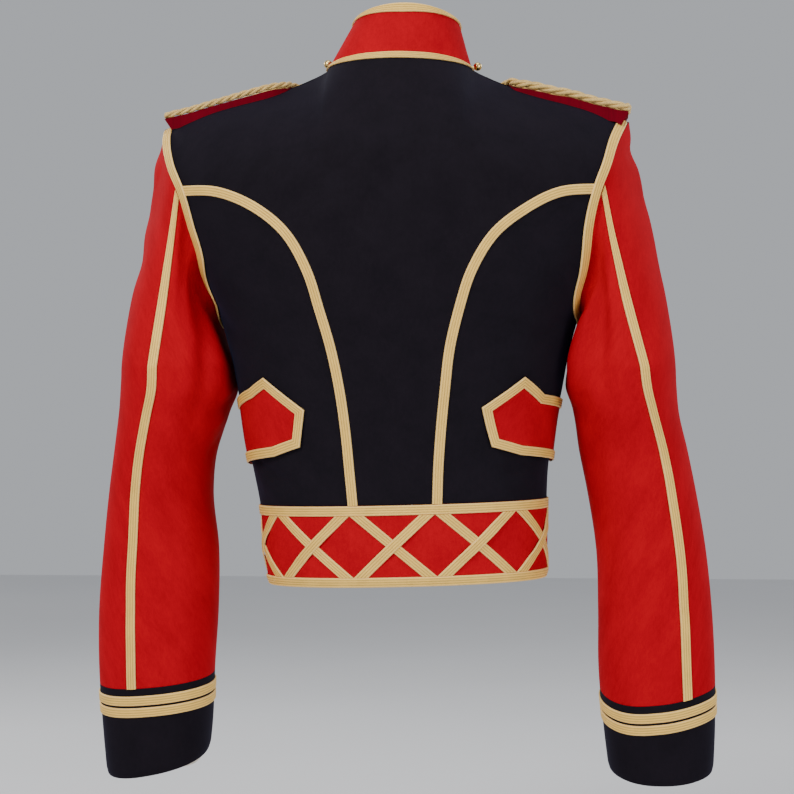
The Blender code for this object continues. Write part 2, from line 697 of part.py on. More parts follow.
def front_grid(side):
    """Angles from the centre front, and heights, of one front, from its overlap to its outer edge."""
    edge = np.concatenate([side_seam(side), front_armhole(side)[1:]])
    points = seam_points(edge, side)
    lengths = np.linalg.norm(np.diff(points, axis=0), axis=1)
    along = np.concatenate([[0.0], np.cumsum(lengths)]) / lengths.sum()
    middle = WAIST + (NECK_FRONT[1] - WAIST) * along
    reach_top = np.abs(points[-1, 0])
    inner_shares = np.sin(np.linspace(0.0, np.pi / 2, 6)) * NECK_HALF_WIDTH
    under_braid = reach_top - BRAID_WIDTH * 1.4
    top_across = np.concatenate(
        [[-FRONT_OVERLAP], inner_shares, NECK_HALF_WIDTH + (under_braid - NECK_HALF_WIDTH) * SHOULDER_SHARES,
         [reach_top]]
    )
    spread = np.abs(np.pi - edge[:, 0])
    lap_angle = -(TRUNK_SURFACE.angle_at(np.full(len(edge), FRONT_OVERLAP), middle))
    wide = TRUNK_SURFACE.angle_at(top_across, np.full(len(top_across), NECK_FRONT[1]))
    shares = wide[1:] / wide[-1]
    angle = np.concatenate([lap_angle[:, None], spread[:, None] * shares[None, :]], axis=1)
    share_squared = np.concatenate([[0.0], shares]) ** 2
    height = middle[:, None] + (edge[:, 1] - middle)[:, None] * share_squared[None, :]
    settle = ease(along, 0.45, 1.0)[:, None] ** 2
    for _ in range(12):
        power = 2.0 / TRUNK_SURFACE.roundness(height)
        across = TRUNK_SURFACE.half_width(height) * np.sign(angle) * np.abs(np.sin(angle)) ** power
        _, top_height = TRUNK_SURFACE.top(across, True)
        plain = middle[:, None] + (edge[:, 1] - middle)[:, None] * share_squared[None, :]
        height = plain + (top_height - plain) * settle
        height[:, -1] = edge[:, 1]
    return np.pi - angle, height


def add_front(side):
    angle, height = front_grid(side)
    lift = 0.0
    if side == "left":
        across = np.abs(TRUNK_SURFACE.point(angle, height)[..., 0])
        lift = OVERLAP_LIFT * (1.0 - ease(across, *OVERLAP_FADE))
    outer, inner = wall_grids(angle * SIDES[side], height, lift)
    outer, inner = drawn_back(outer, inner, last_row=True, last_col=True)
    # the lifted lap stops just short of the collar
    drop = unit(outer[-2] - outer[-1]) * np.broadcast_to(lift, angle.shape)[-1][:, None]
    outer[-1], inner[-1] = outer[-1] + drop, inner[-1] + drop
    add_wall("front_" + side, outer, inner, grid_faces(*angle.shape), "navy_wool")


def add_princess_braid(side):
    """Braid over the curved seam, from the waist to the inner edge of the armhole's braid."""
    row = even_rows(princess_seam(side), side, 30)
    points = seam_points(row, side)
    normals = TRUNK_SURFACE.normal(row[:, 0] * SIDES[side], row[:, 1])
    tangent = unit(np.gradient(points, axis=0))
    aside = unit(np.cross(normals, tangent))
    along = np.concatenate([[0.0], np.cumsum(np.linalg.norm(np.diff(points, axis=0), axis=1))])
    keep = along < along[-1] - BRAID_WIDTH * 1.3
    row, aside = row[keep], aside[keep]
    row[0, 1] += SEAM_GAP
    edges = [
        TRUNK_SURFACE.shifted(row[:, 0] * SIDES[side], row[:, 1], aside * reach)
        for reach in (BRAID_WIDTH / 2, -BRAID_WIDTH / 2)
    ]
    outer, inner = body_strip(edges, SEAM_GAP * 1.5)
    add_strip("princess_braid_" + side, outer, inner, "gold_braid")


def body_strip(edges, lift):
    """Upper and lower points of a braid between two (angle, height) rows of the body."""
    faces = [
        np.stack([TRUNK_SURFACE.lifted(*edge, np.full(len(edge[0]), rise)) for edge in edges], axis=1)
        for rise in (lift + BRAID_THICKNESS, lift)
    ]
    return faces


def armhole_ring(side):
    """The whole armhole as (angle, height), from the shoulder down the back and up the front."""
    back = np.concatenate([low_back_armhole(side), high_back_armhole(side)[1:]])[::-1]
    return np.concatenate([back, front_armhole(side)[1:-1]])


def armhole_frame(side):
    """Points, outward normals and directions away from the body, round the armhole."""
    ring = armhole_ring(side)
    points = TRUNK_SURFACE.point(ring[:, 0] * SIDES[side], ring[:, 1])
    normals = TRUNK_SURFACE.normal(ring[:, 0] * SIDES[side], ring[:, 1])
    normals[0] = unit(normals[1] + normals[-1])
    tangent = unit(np.roll(points, -1, axis=0) - np.roll(points, 1, axis=0))
    away = unit(np.cross(tangent, normals)) * SIDES[side]
    return points, normals, away


def add_armhole_braid(side):
    """Braid lying on the body along the armhole, its outer edge at the seam."""
    ring = armhole_ring(side)
    _, normals, away = armhole_frame(side)
    edges = [
        TRUNK_SURFACE.shifted(ring[:, 0] * SIDES[side], ring[:, 1], -away * reach)
        for reach in (SEAM_GAP, SEAM_GAP + BRAID_WIDTH)
    ]
    outer, inner = body_strip(edges, ARMHOLE_BRAID_LIFT)
    # over the shoulder's edge the braid bends in the plane between back and front
    for face, rise in ((outer, ARMHOLE_BRAID_LIFT + BRAID_THICKNESS), (inner, ARMHOLE_BRAID_LIFT)):
        for place, edge in enumerate(edges):
            reach = abs(TRUNK_SURFACE.point(edge[0][:1], edge[1][:1])[0, 0])
            seat = np.array([SIDES[side] * reach, 0.0, float(TRUNK_SURFACE.ridge(reach))])
            face[0, place] = seat + normals[0] * rise
    add_strip("armhole_braid_" + side, outer, inner, "gold_braid", closed=True)


# ---------------------------------------------------------------- sleeves and cuffs
class Sleeve:
    """One sleeve's outer surface: level ovals, and the cap that joins them to the armhole."""

    def __init__(self, side):
        self.side = side
        self.sign = SIDES[side]
        table = SLEEVE_LEFT if side == "left" else SLEEVE_RIGHT
        self.outer = column(table, "height", "outer")
        self.inner = column(table, "height", "inner")
        self.middle = column(table, "height", "middle")
        self.half_depth = column(table, "height", "half_depth")
        self.armhole, self.normals, self.away = armhole_frame(side)
        self.angles = self._angles()

    def _armhole_degrees(self):
        """Degrees round the armhole of each sample, by distance along its back and its front."""
        lengths = np.linalg.norm(np.roll(self.armhole, -1, axis=0) - self.armhole, axis=1)
        along = np.concatenate([[0.0], np.cumsum(lengths)])
        underarm = LOW_BACK_STEPS + HIGH_BACK_STEPS
        degrees = np.interp(along, [0.0, along[underarm], along[-1]], [0.0, 180.0, 360.0])
        return degrees[:-1]

    def _angles(self):
        """Radians round the sleeve for each armhole sample."""
        degrees = self._armhole_degrees()
        round_sleeve = column(CAP, "armhole", "sleeve")(degrees)
        swing = HINDARM_DEGREES[self.side] - round_sleeve[HINDARM]
        near = 1.0 - ease(np.abs(degrees - degrees[HINDARM]), 0.0, HINDARM_SPREAD)
        return np.radians(round_sleeve + swing * near)

    def point(self, angle, height):
        """Points on the level ovals: 0 at the outer side, a quarter turn on at the back."""
        angle, height = np.broadcast_arrays(np.asarray(angle, float), np.asarray(height, float))
        power = 2.0 / SLEEVE_ROUNDNESS
        cosine, sine = np.cos(angle), np.sin(angle)
        centre = (self.outer(height) + self.inner(height)) / 2
        half = (self.outer(height) - self.inner(height)) / 2
        across = centre + half * np.sign(cosine) * np.abs(cosine) ** power
        back = self.middle(height) + self.half_depth(height) * np.sign(sine) * np.abs(sine) ** power
        return np.stack([across * self.sign, back, height], axis=-1)

    def normal(self, angle, height):
        step = 1e-2
        along = self.point(np.asarray(angle) + step, height) - self.point(np.asarray(angle) - step, height)
        down = self.point(angle, np.asarray(height) - 1e-3) - self.point(angle, np.asarray(height) + 1e-3)
        return unit(np.cross(down, along)) * self.sign

    def lifted(self, angle, height, lift):
        lift = np.asarray(lift, float)
        return self.point(angle, height) + self.normal(angle, height) * lift[..., None]

    def edge(self, edges, angle, gap=0.0):
        """Heights of a slanting edge at these angles."""
        edge = edges[self.side]
        centre = (self.outer(edge.height) + self.inner(edge.height)) / 2
        place = self.point(angle, edge.height)
        outward = place[..., 0] * self.sign - centre
        backward = place[..., 1] - self.middle(edge.height)
        near = 0.5 + 0.5 * np.cos(angle - math.radians(edge.dip_angle))
        return (
            edge.height + edge.outward * outward + edge.backward * backward
            - edge.dip * near**4 + gap
        )

    def grid(self):
        """Outer points of the whole sleeve, armhole to cuff, one column for each armhole sample."""
        degrees = self._armhole_degrees()
        turn = np.radians(column(CAP, "armhole", "turn")(degrees))[:, None]
        reach = column(CAP, "armhole", "reach")(degrees)[:, None]
        start = self.armhole + self.away * (SEAM_GAP + UNDERARM_EASE * np.maximum(np.sin(turn), 0.0))
        leave = np.cos(turn) * self.away + np.sin(turn) * self.normals
        end = self.point(self.angles, TUBE_START)
        arrive = unit(self.point(self.angles, TUBE_START - 0.02) - end)
        span = np.linalg.norm(end - start, axis=1)[:, None] * reach
        rows = []
        for t in np.linspace(0.0, 1.0, CAP_ROWS + 1) ** 1.15:
            rows.append(
                (2 * t**3 - 3 * t**2 + 1) * start + (t**3 - 2 * t**2 + t) * span * leave
                + (3 * t**2 - 2 * t**3) * end + (t**3 - t**2) * span * arrive
            )
        cuff = self.edge(CUFF_TOP, self.angles, SEAM_GAP / 2)
        for share in np.linspace(0.0, 1.0, TUBE_ROWS + 1)[1:]:
            rows.append(self.point(self.angles, TUBE_START + (cuff - TUBE_START) * share))
        return np.stack(rows)

    def walls(self):
        """Outer and inner grids. The first row's wall lies along the body's own edge."""
        outer = self.grid()
        normals = grid_normals(outer, closed=True) * self.sign
        turn = np.maximum(column(CAP, "armhole", "turn")(self._armhole_degrees()), 0.0)
        turn = np.radians(turn)[:, None]
        inward = -np.cos(turn) * self.normals + np.sin(turn) * self.away
        inner = outer - normals * WALL
        inward[0] = (0.0, 0.0, -1.0)
        inner[0] = outer[0] + inward * WALL
        return outer, inner, normals


HINDARM = HIGH_BACK_STEPS  # sample of the armhole where the back seam starts
FOREARM = HIGH_BACK_STEPS + LOW_BACK_STEPS + FOREARM_STEP


def add_sleeve(sleeve):
    """The upper and under sleeve, split at the hindarm and forearm seams."""
    outer, inner, _ = sleeve.walls()
    count = outer.shape[1]
    spans = {
        "sleeve_under_": np.arange(HINDARM, FOREARM + 1),
        "sleeve_upper_": np.arange(FOREARM, count + HINDARM + 1) % count,
    }
    for name, columns in spans.items():
        walls = drawn_back(outer[:, columns], inner[:, columns], first_col=True, last_col=True, by=SEAM_GAP)
        add_wall(name + sleeve.side, *walls, grid_faces(len(outer), len(columns)), "red_wool")


def add_sleeve_braid(sleeve):
    """Braid down the hindarm seam, from the armhole to the cuff."""
    outer, _, normals = sleeve.walls()
    aside = unit(outer[:, HINDARM + 1] - outer[:, HINDARM - 1])
    path, out = outer[:, HINDARM], normals[:, HINDARM]
    path = np.concatenate([path[:1] + (path[1:2] - path[:1]) * 0.20, path[1:]])
    half = BRAID_WIDTH / 2
    outer, inner = (
        np.stack([path + aside * half + out * rise, path - aside * half + out * rise], axis=1)
        for rise in (SEAM_GAP * 1.5 + BRAID_THICKNESS, SEAM_GAP * 1.5)
    )
    add_strip("sleeve_braid_" + sleeve.side, outer, inner, "gold_braid")


def add_cuff(sleeve):
    """The cuff, its pale lining and its two braids."""
    angles = sleeve.angles
    top = sleeve.edge(CUFF_TOP, angles, -SEAM_GAP / 2)
    bottom = sleeve.edge(CUFF_BOTTOM, angles)
    shares = np.linspace(0.0, 1.0, CUFF_ROWS)[:, None]
    heights = top + (bottom - top) * shares
    walls = [sleeve.lifted(angles, heights, np.full(heights.shape, lift)) for lift in (0.0, -WALL)]
    faces = grid_faces(CUFF_ROWS, len(angles), closed=True)
    add_wall("cuff_" + sleeve.side, *walls, faces, "navy_wool")

    lining_top = bottom + CUFF_LINING_HEIGHT
    heights = lining_top + (bottom + 0.001 - lining_top) * np.linspace(0.0, 1.0, 3)[:, None]
    lifts = (-WALL - CUFF_LINING_GAP, -WALL - CUFF_LINING_GAP - LINING_WALL)
    walls = [sleeve.lifted(angles, heights, np.full(heights.shape, lift)) for lift in lifts]
    add_wall("cuff_lining_" + sleeve.side, *walls, grid_faces(3, len(angles), closed=True), "pale_lining")

    for place, name in enumerate(("upper", "lower")):
        upper_edge = top - CUFF_BRAID_DROP - place * CUFF_BRAID_STEP
        outer, inner = (
            np.stack(
                [sleeve.lifted(angles, upper_edge - drop, np.full(len(angles), rise)) for drop in (0.0, BRAID_WIDTH)],
                axis=1,
            )
            for rise in (SEAM_GAP + BRAID_THICKNESS, SEAM_GAP)
        )
        add_strip(f"cuff_braid_{name}_{sleeve.side}", outer, inner, "gold_braid", closed=True)


# ---------------------------------------------------------------- collar
def collar_turns():
    """Radians round the neck, centre back 0, from the right of the centre front to the left."""
    back = np.arcsin(np.sin(np.linspace(0.0, np.pi / 2, 7)))
    half = np.concatenate([back, np.pi - back[-2:0:-1]])
    end = np.pi - math.asin(FRONT_SPLIT / 2 / NECK_HALF_WIDTH)
    half = np.append(half, end)
    return np.concatenate([-half[:0:-1], half])


def collar_grid(lift, rows=COLLAR_ROWS, low=0.0, high=1.0):
    """Points of the collar between two shares of its height, moved out by lift."""
    turns = collar_turns()
    sine, cosine = np.sin(turns), np.cos(turns)
    front = cosine < 0
    end_back, end_height = TRUNK_SURFACE.top(NECK_HALF_WIDTH * sine * 0.99999, front)
    base = np.stack([NECK_HALF_WIDTH * sine, end_back, end_height + COLLAR_LIFT], axis=1)
    depth = np.where(front, -COLLAR_TOP_FRONT[0], COLLAR_TOP_BACK[0])
    middle = np.where(front, COLLAR_TOP_FRONT[1], COLLAR_TOP_BACK[1])
    rise = COLLAR_TOP_SIDE_HEIGHT + (middle - COLLAR_TOP_SIDE_HEIGHT) * np.abs(cosine) ** 1.3
    top = np.stack(
        [COLLAR_TOP_HALF_WIDTH * sine + COLLAR_TOP_SWAY * (1 + cosine) / 2, depth * cosine, rise], axis=1
    )
    top[[0, -1], 0] = np.array([-1.0, 1.0]) * FRONT_SPLIT / 2
    shares = np.linspace(low, high, rows)[:, None, None]
    grid = base[None] + (top - base)[None] * shares
    normals = grid_normals(np.stack([base, top]))[:1]
    return grid + normals * lift


def add_collar():
    columns = len(collar_turns())
    add_wall("collar", collar_grid(0.0), collar_grid(-STIFF_WALL), grid_faces(COLLAR_ROWS, columns), "red_wool")
    faces = grid_faces(2, columns)
    share = BRAID_WIDTH / 0.0555
    low_share = NARROW_BRAID / 0.0555
    spans = {"collar_braid_top": (1.0 - share, 1.0), "collar_braid_base": (0.012, low_share)}
    for name, (low, high) in spans.items():
        outer = collar_grid(SEAM_GAP + BRAID_THICKNESS, 2, low, high)
        inner = collar_grid(SEAM_GAP, 2, low, high)
        add_wall(name, outer, inner, faces, "gold_braid")


# ---------------------------------------------------------------- waistband
def band_angles():
    """Angles round the band, from the right of the centre front to the left."""
    gap = FRONT_SPLIT / 2 / TRUNK_SURFACE.front_depth(WAIST) * 1.0
    return np.linspace(-np.pi + gap, np.pi - gap, BAND_STEPS + 1)


def add_band_ring(name, heights, lifts, material):
    """A ring of the waistband between heights, open at the centre front."""
    angle = np.broadcast_to(band_angles(), (len(heights), BAND_STEPS + 1))
    height = np.broadcast_to(np.asarray(heights, float)[:, None], angle.shape)
    walls = [TRUNK_SURFACE.lifted(angle, height, np.full(angle.shape, lift)) for lift in lifts]
    add_wall(name, *walls, grid_faces(*angle.shape), material)


def add_waistband():
    top = WAIST - SEAM_GAP
    add_band_ring("waistband", np.linspace(top, HEM, 3), (BAND_LIFT, BAND_LIFT - STIFF_WALL), "red_wool")
    low = BAND_LIFT + SEAM_GAP
    lifts = (low + BRAID_THICKNESS, low)
    crossing_lifts = (LATTICE_LIFT + BAND_LIFT + BRAID_THICKNESS, LATTICE_LIFT + BAND_LIFT)
    add_band_ring("waistband_braid_top", (top - 0.0002, top - BRAID_WIDTH), lifts, "gold_braid")
    add_band_ring("waistband_braid_bottom", (HEM + BRAID_WIDTH, HEM + 0.0002), lifts, "gold_braid")
    add_lattice(top - BRAID_WIDTH - SEAM_GAP, HEM + BRAID_WIDTH + SEAM_GAP, crossing_lifts)


def add_lattice(top, bottom, lifts):
    """Braids that cross at the band's mid height, once in each repeat, joined at the crossings."""
    repeat = TRUNK_SURFACE.girth((top + bottom) / 2) / CROSSINGS
    rise = (top - bottom) / 2
    middle = (top + bottom) / 2
    slope = math.atan2(rise, repeat / 2)
    wide = BRAID_WIDTH / 2 / math.sin(slope)
    tall = BRAID_WIDTH / 2 / math.cos(slope)
    end = repeat * CROSSINGS / 2 - FRONT_SPLIT / 2
    vertices, faces, index = [], [], {}

    def corner(along, height):
        key = (round(along, 7), round(height, 7))
        if key not in index:
            index[key] = len(vertices)
            vertices.append(key)
        return index[key]

    def arm(start, finish_):
        """Quads from one pair of corners to another."""
        shares = np.linspace(0.0, 1.0, LATTICE_ARM_STEPS + 1)
        rows = [
            [corner(*(np.array(a) + (np.array(b) - np.array(a)) * share)) for a, b in zip(start, finish_)]
            for share in shares
        ]
        for before, after in zip(rows, rows[1:]):
            faces.append((before[0], before[1], after[1], after[0]))

    for step in range(-(CROSSINGS // 2), CROSSINGS // 2 + 1):
        at = step * repeat
        left, right = (at + wide, middle), (at - wide, middle)
        up, down = (at, middle + tall), (at, middle - tall)
        faces.append(tuple(corner(*place) for place in (left, up, right, down)))
        for hand, beside in ((1, left), (-1, right)):
            apex = at + hand * repeat / 2
            for line, lean, point_ in ((top, -1, up), (bottom, 1, down)):
                arm((point_, beside), ((apex - hand * wide, line), (apex, line + lean * tall)))
    for step in range(-(CROSSINGS // 2) - 1, CROSSINGS // 2 + 1):
        apex = (step + 0.5) * repeat
        for line, lean in ((top, -1), (bottom, 1)):
            shoulders = [apex - wide, apex + wide]
            if step == -(CROSSINGS // 2) - 1:
                shoulders[0] = apex
            if step == CROSSINGS // 2:
                shoulders[1] = apex
            faces.append(tuple(corner(*place) for place in
                               ((shoulders[0], line), (shoulders[1], line), (apex, line + lean * tall))))
    flat = np.array(vertices)
    along = np.clip(flat[:, 0], -end, end)
    angle = TRUNK_SURFACE.angles_round(middle)(np.clip(along + LATTICE_SHIFT * np.cos(along / end * np.pi / 2), -end, end))
    walls = [TRUNK_SURFACE.lifted(angle, flat[:, 1], np.full(len(flat), lift)) for lift in lifts]
    add_wall("waistband_lattice", *walls, one_way_round(flat, faces), "gold_braid")


def one_way_round(flat, faces):
    """Flat faces all wound the same way."""
    turned = []
    for face in faces:
        corners = flat[list(face)]
        following = np.roll(corners, -1, axis=0)
        area = (corners[:, 0] * following[:, 1] - corners[:, 1] * following[:, 0]).sum()
        turned.append(tuple(face) if area > 0 else tuple(reversed(face)))
    return turned


# ---------------------------------------------------------------- waist flaps
def inset(outline, distance):
    """A closed outline moved inwards by distance, with mitred corners."""
    before, after = np.roll(outline, 1, axis=0), np.roll(outline, -1, axis=0)
    first, second = unit(outline - before), unit(after - outline)
    area = (outline[:, 0] * after[:, 1] - outline[:, 1] * after[:, 0]).sum()
    hand = 1.0 if area > 0 else -1.0
    inward_a = np.stack([-first[:, 1], first[:, 0]], axis=1) * hand
    inward_b = np.stack([-second[:, 1], second[:, 0]], axis=1) * hand
    bisector = unit(inward_a + inward_b)
    stretch = 1.0 / np.maximum((bisector * inward_a).sum(axis=1), 0.4)
    return outline + bisector * (distance * stretch)[:, None]


def flap_surface(side):
    """A function from (along, height, lift) on the flap to points in space."""
    angles = TRUNK_SURFACE.angles_round(-0.35)
    quarter = TRUNK_SURFACE.point(np.linspace(0.0, np.pi / 2, 181), -0.35)
    to_side = np.linalg.norm(np.diff(quarter, axis=0), axis=1).sum()

    def place(flat, lift):
        flat = np.asarray(flat)
        angle = angles(to_side - flat[..., 0]) * SIDES[side]
        hang = ease(-flat[..., 1], 0.330, 0.392) * FLAP_STAND_OFF
        hang = hang * (1.0 - 0.6 * ease(np.abs(flat[..., 0] - 0.02), 0.04, 0.13))
        return TRUNK_SURFACE.lifted(angle, flat[..., 1], lift + hang)

    return place


def flap_rows():
    """Top and bottom of the flap at evenly chosen distances along it, as two rows of points."""
    outline = np.array(FLAP_OUTLINE)
    bottom, top = outline[1:5], np.concatenate([outline[5:], outline[:1]])
    marks = sorted({*top[:, 0], *bottom[:, 0]} - {bottom[0, 0], bottom[-1, 0]})
    fine = [marks[0]]
    for start, end in zip(marks, marks[1:]):
        steps = max(1, round((end - start) / FLAP_STEP))
        fine += list(start + (end - start) * np.arange(1, steps + 1) / steps)
    shares = (np.array(fine) - fine[0]) / (fine[-1] - fine[0])
    top_row = np.stack([fine, np.interp(fine, top[:, 0], top[:, 1])], axis=1)
    low_along = bottom[-1, 0] + (bottom[0, 0] - bottom[-1, 0]) * shares
    low_row = np.stack([low_along, np.interp(low_along, bottom[::-1, 0], bottom[::-1, 1])], axis=1)
    return top_row, low_row


def add_flap(side):
    place = flap_surface(side)
    top_row, low_row = flap_rows()
    shares = np.linspace(0.0, 1.0, 5)[:, None, None]
    flat = top_row + (low_row - top_row) * shares
    walls = [place(flat, FLAP_LIFT + FLAP_WALL), place(flat, FLAP_LIFT)]
    add_wall("flap_" + side, *walls, grid_faces(5, flat.shape[1]), "red_wool")

    outline = np.concatenate([top_row, low_row[::-1]])
    edge = inset(outline, 0.0004)
    inside = inset(edge, BRAID_WIDTH)
    flat = np.concatenate([edge, inside])
    count = len(outline)
    faces = [(i, (i + 1) % count, count + (i + 1) % count, count + i) for i in range(count)]
    low = FLAP_LIFT * 2 + FLAP_WALL
    walls = [place(flat, low + BRAID_THICKNESS), place(flat, low)]
    add_wall("flap_braid_" + side, *walls, faces, "gold_braid")


# ---------------------------------------------------------------- epaulettes
def shoulder_height(across, back):
    """Height of the body's surface over a point of the plan, near the shoulder seam."""
    ridge = float(TRUNK_SURFACE.ridge(abs(across)))
    heights = np.linspace(ridge, ridge - 0.06, 200)
    front = back < 0
    angles = TRUNK_SURFACE.angle_at(np.full(len(heights), abs(across)), heights, front)
    points = TRUNK_SURFACE.point(angles, heights)
    return float(np.interp(abs(back), np.abs(points[:, 1]), heights))


def add_epaulette(side):
    """A padded board along the shoulder seam, and the cord round its upper rim."""
    half_width = column(EPAULETTE, "across", "half_width")
    top_height = column(EPAULETTE, "across", "top")
    crown_fall = column(EPAULETTE, "across", "crown")
    middle = column(EPAULETTE, "across", "middle")
    spans = np.linspace(EPAULETTE_INNER, EPAULETTE_OUTER, 10)
    sweep = np.linspace(1.0, -1.0, 9)
    upper, lower = [], []
    for across in spans:
        clear = EPAULETTE_CLEARANCE[0] + (EPAULETTE_CLEARANCE[1] - EPAULETTE_CLEARANCE[0]) * ease(across, 0.175, 0.205)
        for share in sweep:
            back = float(middle(across)) + share * float(half_width(across))
            floor = shoulder_height(across, back) + float(clear) * 1.15
            crown = float(top_height(across)) - float(crown_fall(across)) * share**2
            lower.append((across * SIDES[side], back, floor))
            upper.append((across * SIDES[side], back, max(crown, floor + EPAULETTE_LEAST)))
    add_wall("epaulette_" + side, upper, lower, grid_faces(len(spans), len(sweep)), "red_wool")

    upper = np.array(upper).reshape(len(spans), len(sweep), 3)
    rim = np.concatenate([upper[:, 0], upper[-1, 1:-1], upper[::-1, -1], upper[0, -2:0:-1]])
    centre = upper.reshape(-1, 3).mean(axis=0)
    inward = centre - rim
    inward[:, 2] = 0.0
    rim = rim + unit(inward) * CORD_RADIUS * 0.4
    rim = spaced(np.concatenate([rim, rim[:1]]), CORD_POINTS + 1)[:-1]
    rounded = (np.roll(rim, 1, axis=0) + rim * 3 + np.roll(rim, -1, axis=0)) / 5
    rounded[:, 2] = np.maximum(rounded[:, 2], rim[:, 2]) + CORD_RADIUS + CORD_SEAT
    add_tube_loop("epaulette_cord_" + side, rounded, CORD_RADIUS, CORD_SIDES, "gold_cord")


# ---------------------------------------------------------------- buttons
def add_buttons():
    for number, height in enumerate(FRONT_BUTTON_HEIGHTS, 1):
        angle = np.array([np.pi])
        seat = TRUNK_SURFACE.lifted(angle, np.array([height]), np.array([OVERLAP_LIFT + SEAM_GAP * 1.5]))[0]
        outward = TRUNK_SURFACE.normal(angle, np.array([height]))[0]
        add_ball_button(f"front_button_{number}", seat, outward, FRONT_BUTTON_RADIUS, "brass")
    for side, sign in SIDES.items():
        lift = SEAM_GAP * 2 + BRAID_THICKNESS
        grid = collar_grid(0.0, 2, 0.12, 1.0)
        normals = grid_normals(grid)
        turns = collar_turns()
        at = int(np.argmin(np.abs(turns - sign * np.pi / 2)))
        seat = grid[0, at] + normals[0, at] * lift
        add_ball_button("neck_button_" + side, seat, normals[0, at], NECK_BUTTON_RADIUS, "brass")


def clear_scene():
    for old in list(bpy.data.objects):
        bpy.data.objects.remove(old, do_unlink=True)


def build():
    clear_scene()
    add_back()
    for side in SIDES:
        add_side_back(side)
        add_front(side)
        add_princess_braid(side)
        add_armhole_braid(side)
        sleeve = Sleeve(side)
        add_sleeve(sleeve)
        add_sleeve_braid(sleeve)
        add_cuff(sleeve)
        add_flap(side)
        add_epaulette(side)
    add_collar()
    add_waistband()
    add_buttons()


build()
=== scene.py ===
"""The look of a cropped military jacket, standing hollow in the shape it takes when worn.

Metres, +Z up. The front faces -Y, the back +Y, and the wearer's left side is +X. The body is one
smooth surface, the Trunk, addressed by an angle (0 at the centre back, growing towards the wearer's
left) and a height. Cloth is a thin shell on that surface, with its creases placed one by one, and the
braid, flaps and buttons lie on the creased surface.
"""

import logging
import math
from dataclasses import dataclass, field
from enum import Enum
from typing import Callable, Iterable, Sequence

import bmesh
import bpy
import numpy as np
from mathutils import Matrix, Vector


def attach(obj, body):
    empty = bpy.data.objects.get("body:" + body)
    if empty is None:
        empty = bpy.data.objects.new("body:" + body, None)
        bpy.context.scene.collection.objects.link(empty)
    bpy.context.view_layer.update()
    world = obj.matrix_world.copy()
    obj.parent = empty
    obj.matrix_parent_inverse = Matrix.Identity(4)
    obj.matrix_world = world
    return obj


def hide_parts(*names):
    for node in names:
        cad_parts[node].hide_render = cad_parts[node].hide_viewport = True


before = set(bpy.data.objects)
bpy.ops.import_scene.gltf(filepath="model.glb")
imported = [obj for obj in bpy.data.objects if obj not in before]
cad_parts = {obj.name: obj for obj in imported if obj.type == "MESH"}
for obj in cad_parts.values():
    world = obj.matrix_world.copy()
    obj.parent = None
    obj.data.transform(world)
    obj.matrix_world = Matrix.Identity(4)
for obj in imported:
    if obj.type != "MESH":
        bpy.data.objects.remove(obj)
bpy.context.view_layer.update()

LOG = logging.getLogger("jacket")
Points = np.ndarray
Strip = tuple[Points, list[tuple[int, ...]], Points]
BRAID_COLUMNS = 17
RING_STEPS = 1441


class Side(Enum):
    """The wearer's two sides, with the sign of X there."""

    LEFT = ("left", 1.0)
    RIGHT = ("right", -1.0)

    @property
    def label(self) -> str:
        """The word used in piece names."""
        return self.value[0]

    @property
    def sign(self) -> float:
        """+1 on the wearer's left, -1 on the right."""
        return self.value[1]


# ------------------------------------------------------------------------------------ numbers
class Smooth:
    """A smooth function through a short table, straight on beyond its ends."""

    def __init__(self, keys: Sequence[float], values: Sequence[float]) -> None:
        """Args: keys, in any order; values, one for each key."""
        order = np.argsort(keys)
        self.keys = np.asarray(keys, float)[order]
        self.values = np.asarray(values, float)[order]
        self.slopes = np.gradient(self.values, self.keys)

    def __call__(self, at: Points | float) -> Points:
        """Returns: the function's values at these places."""
        at = np.asarray(at, float)
        keys, values, slopes = self.keys, self.values, self.slopes
        inside = np.clip(at, keys[0], keys[-1])
        low = np.clip(np.searchsorted(keys, inside) - 1, 0, len(keys) - 2)
        span = keys[low + 1] - keys[low]
        t = (inside - keys[low]) / span
        value = (
            (2 * t**3 - 3 * t**2 + 1) * values[low]
            + (t**3 - 2 * t**2 + t) * span * slopes[low]
            + (3 * t**2 - 2 * t**3) * values[low + 1]
            + (t**3 - t**2) * span * slopes[low + 1]
        )
        return value + (at - inside) * np.where(at < keys[0], slopes[0], slopes[-1])


def ease(at: Points | float, start: float, end: float) -> Points:
    """0 before start, 1 past end, smooth between."""
    t = np.clip((np.asarray(at, float) - start) / (end - start), 0.0, 1.0)
    return t * t * (3 - 2 * t)


def unit(vectors: Points) -> Points:
    """Vectors at length 1."""
    return vectors / np.maximum(np.linalg.norm(vectors, axis=-1, keepdims=True), 1e-12)


def run_lengths(points: Points) -> Points:
    """Distance along a row of points, from its first one."""
    steps = np.linalg.norm(np.diff(points, axis=0), axis=-1)
    return np.concatenate([np.zeros((1, *steps.shape[1:])), np.cumsum(steps, axis=0)])


def grid_normals(grid: Points, closed: bool = False) -> Points:
    """Unit normals of a grid of points, from each point's neighbours."""
    if closed:
        along = np.roll(grid, -1, axis=1) - np.roll(grid, 1, axis=1)
    else:
        along = np.gradient(grid, axis=1)
    return unit(np.cross(np.gradient(grid, axis=0), along))


def quads_of(index: Points) -> Points:
    """The four-cornered faces of a grid of point numbers."""
    return np.stack([index[:-1, :-1], index[:-1, 1:], index[1:, 1:], index[1:, :-1]], axis=-1).reshape(-1, 4)


def paired(angle: Points | float, height: Points | float) -> list[Points]:
    """Angles and heights as two arrays of one shape."""
    return np.broadcast_arrays(np.asarray(angle, float), np.asarray(height, float))


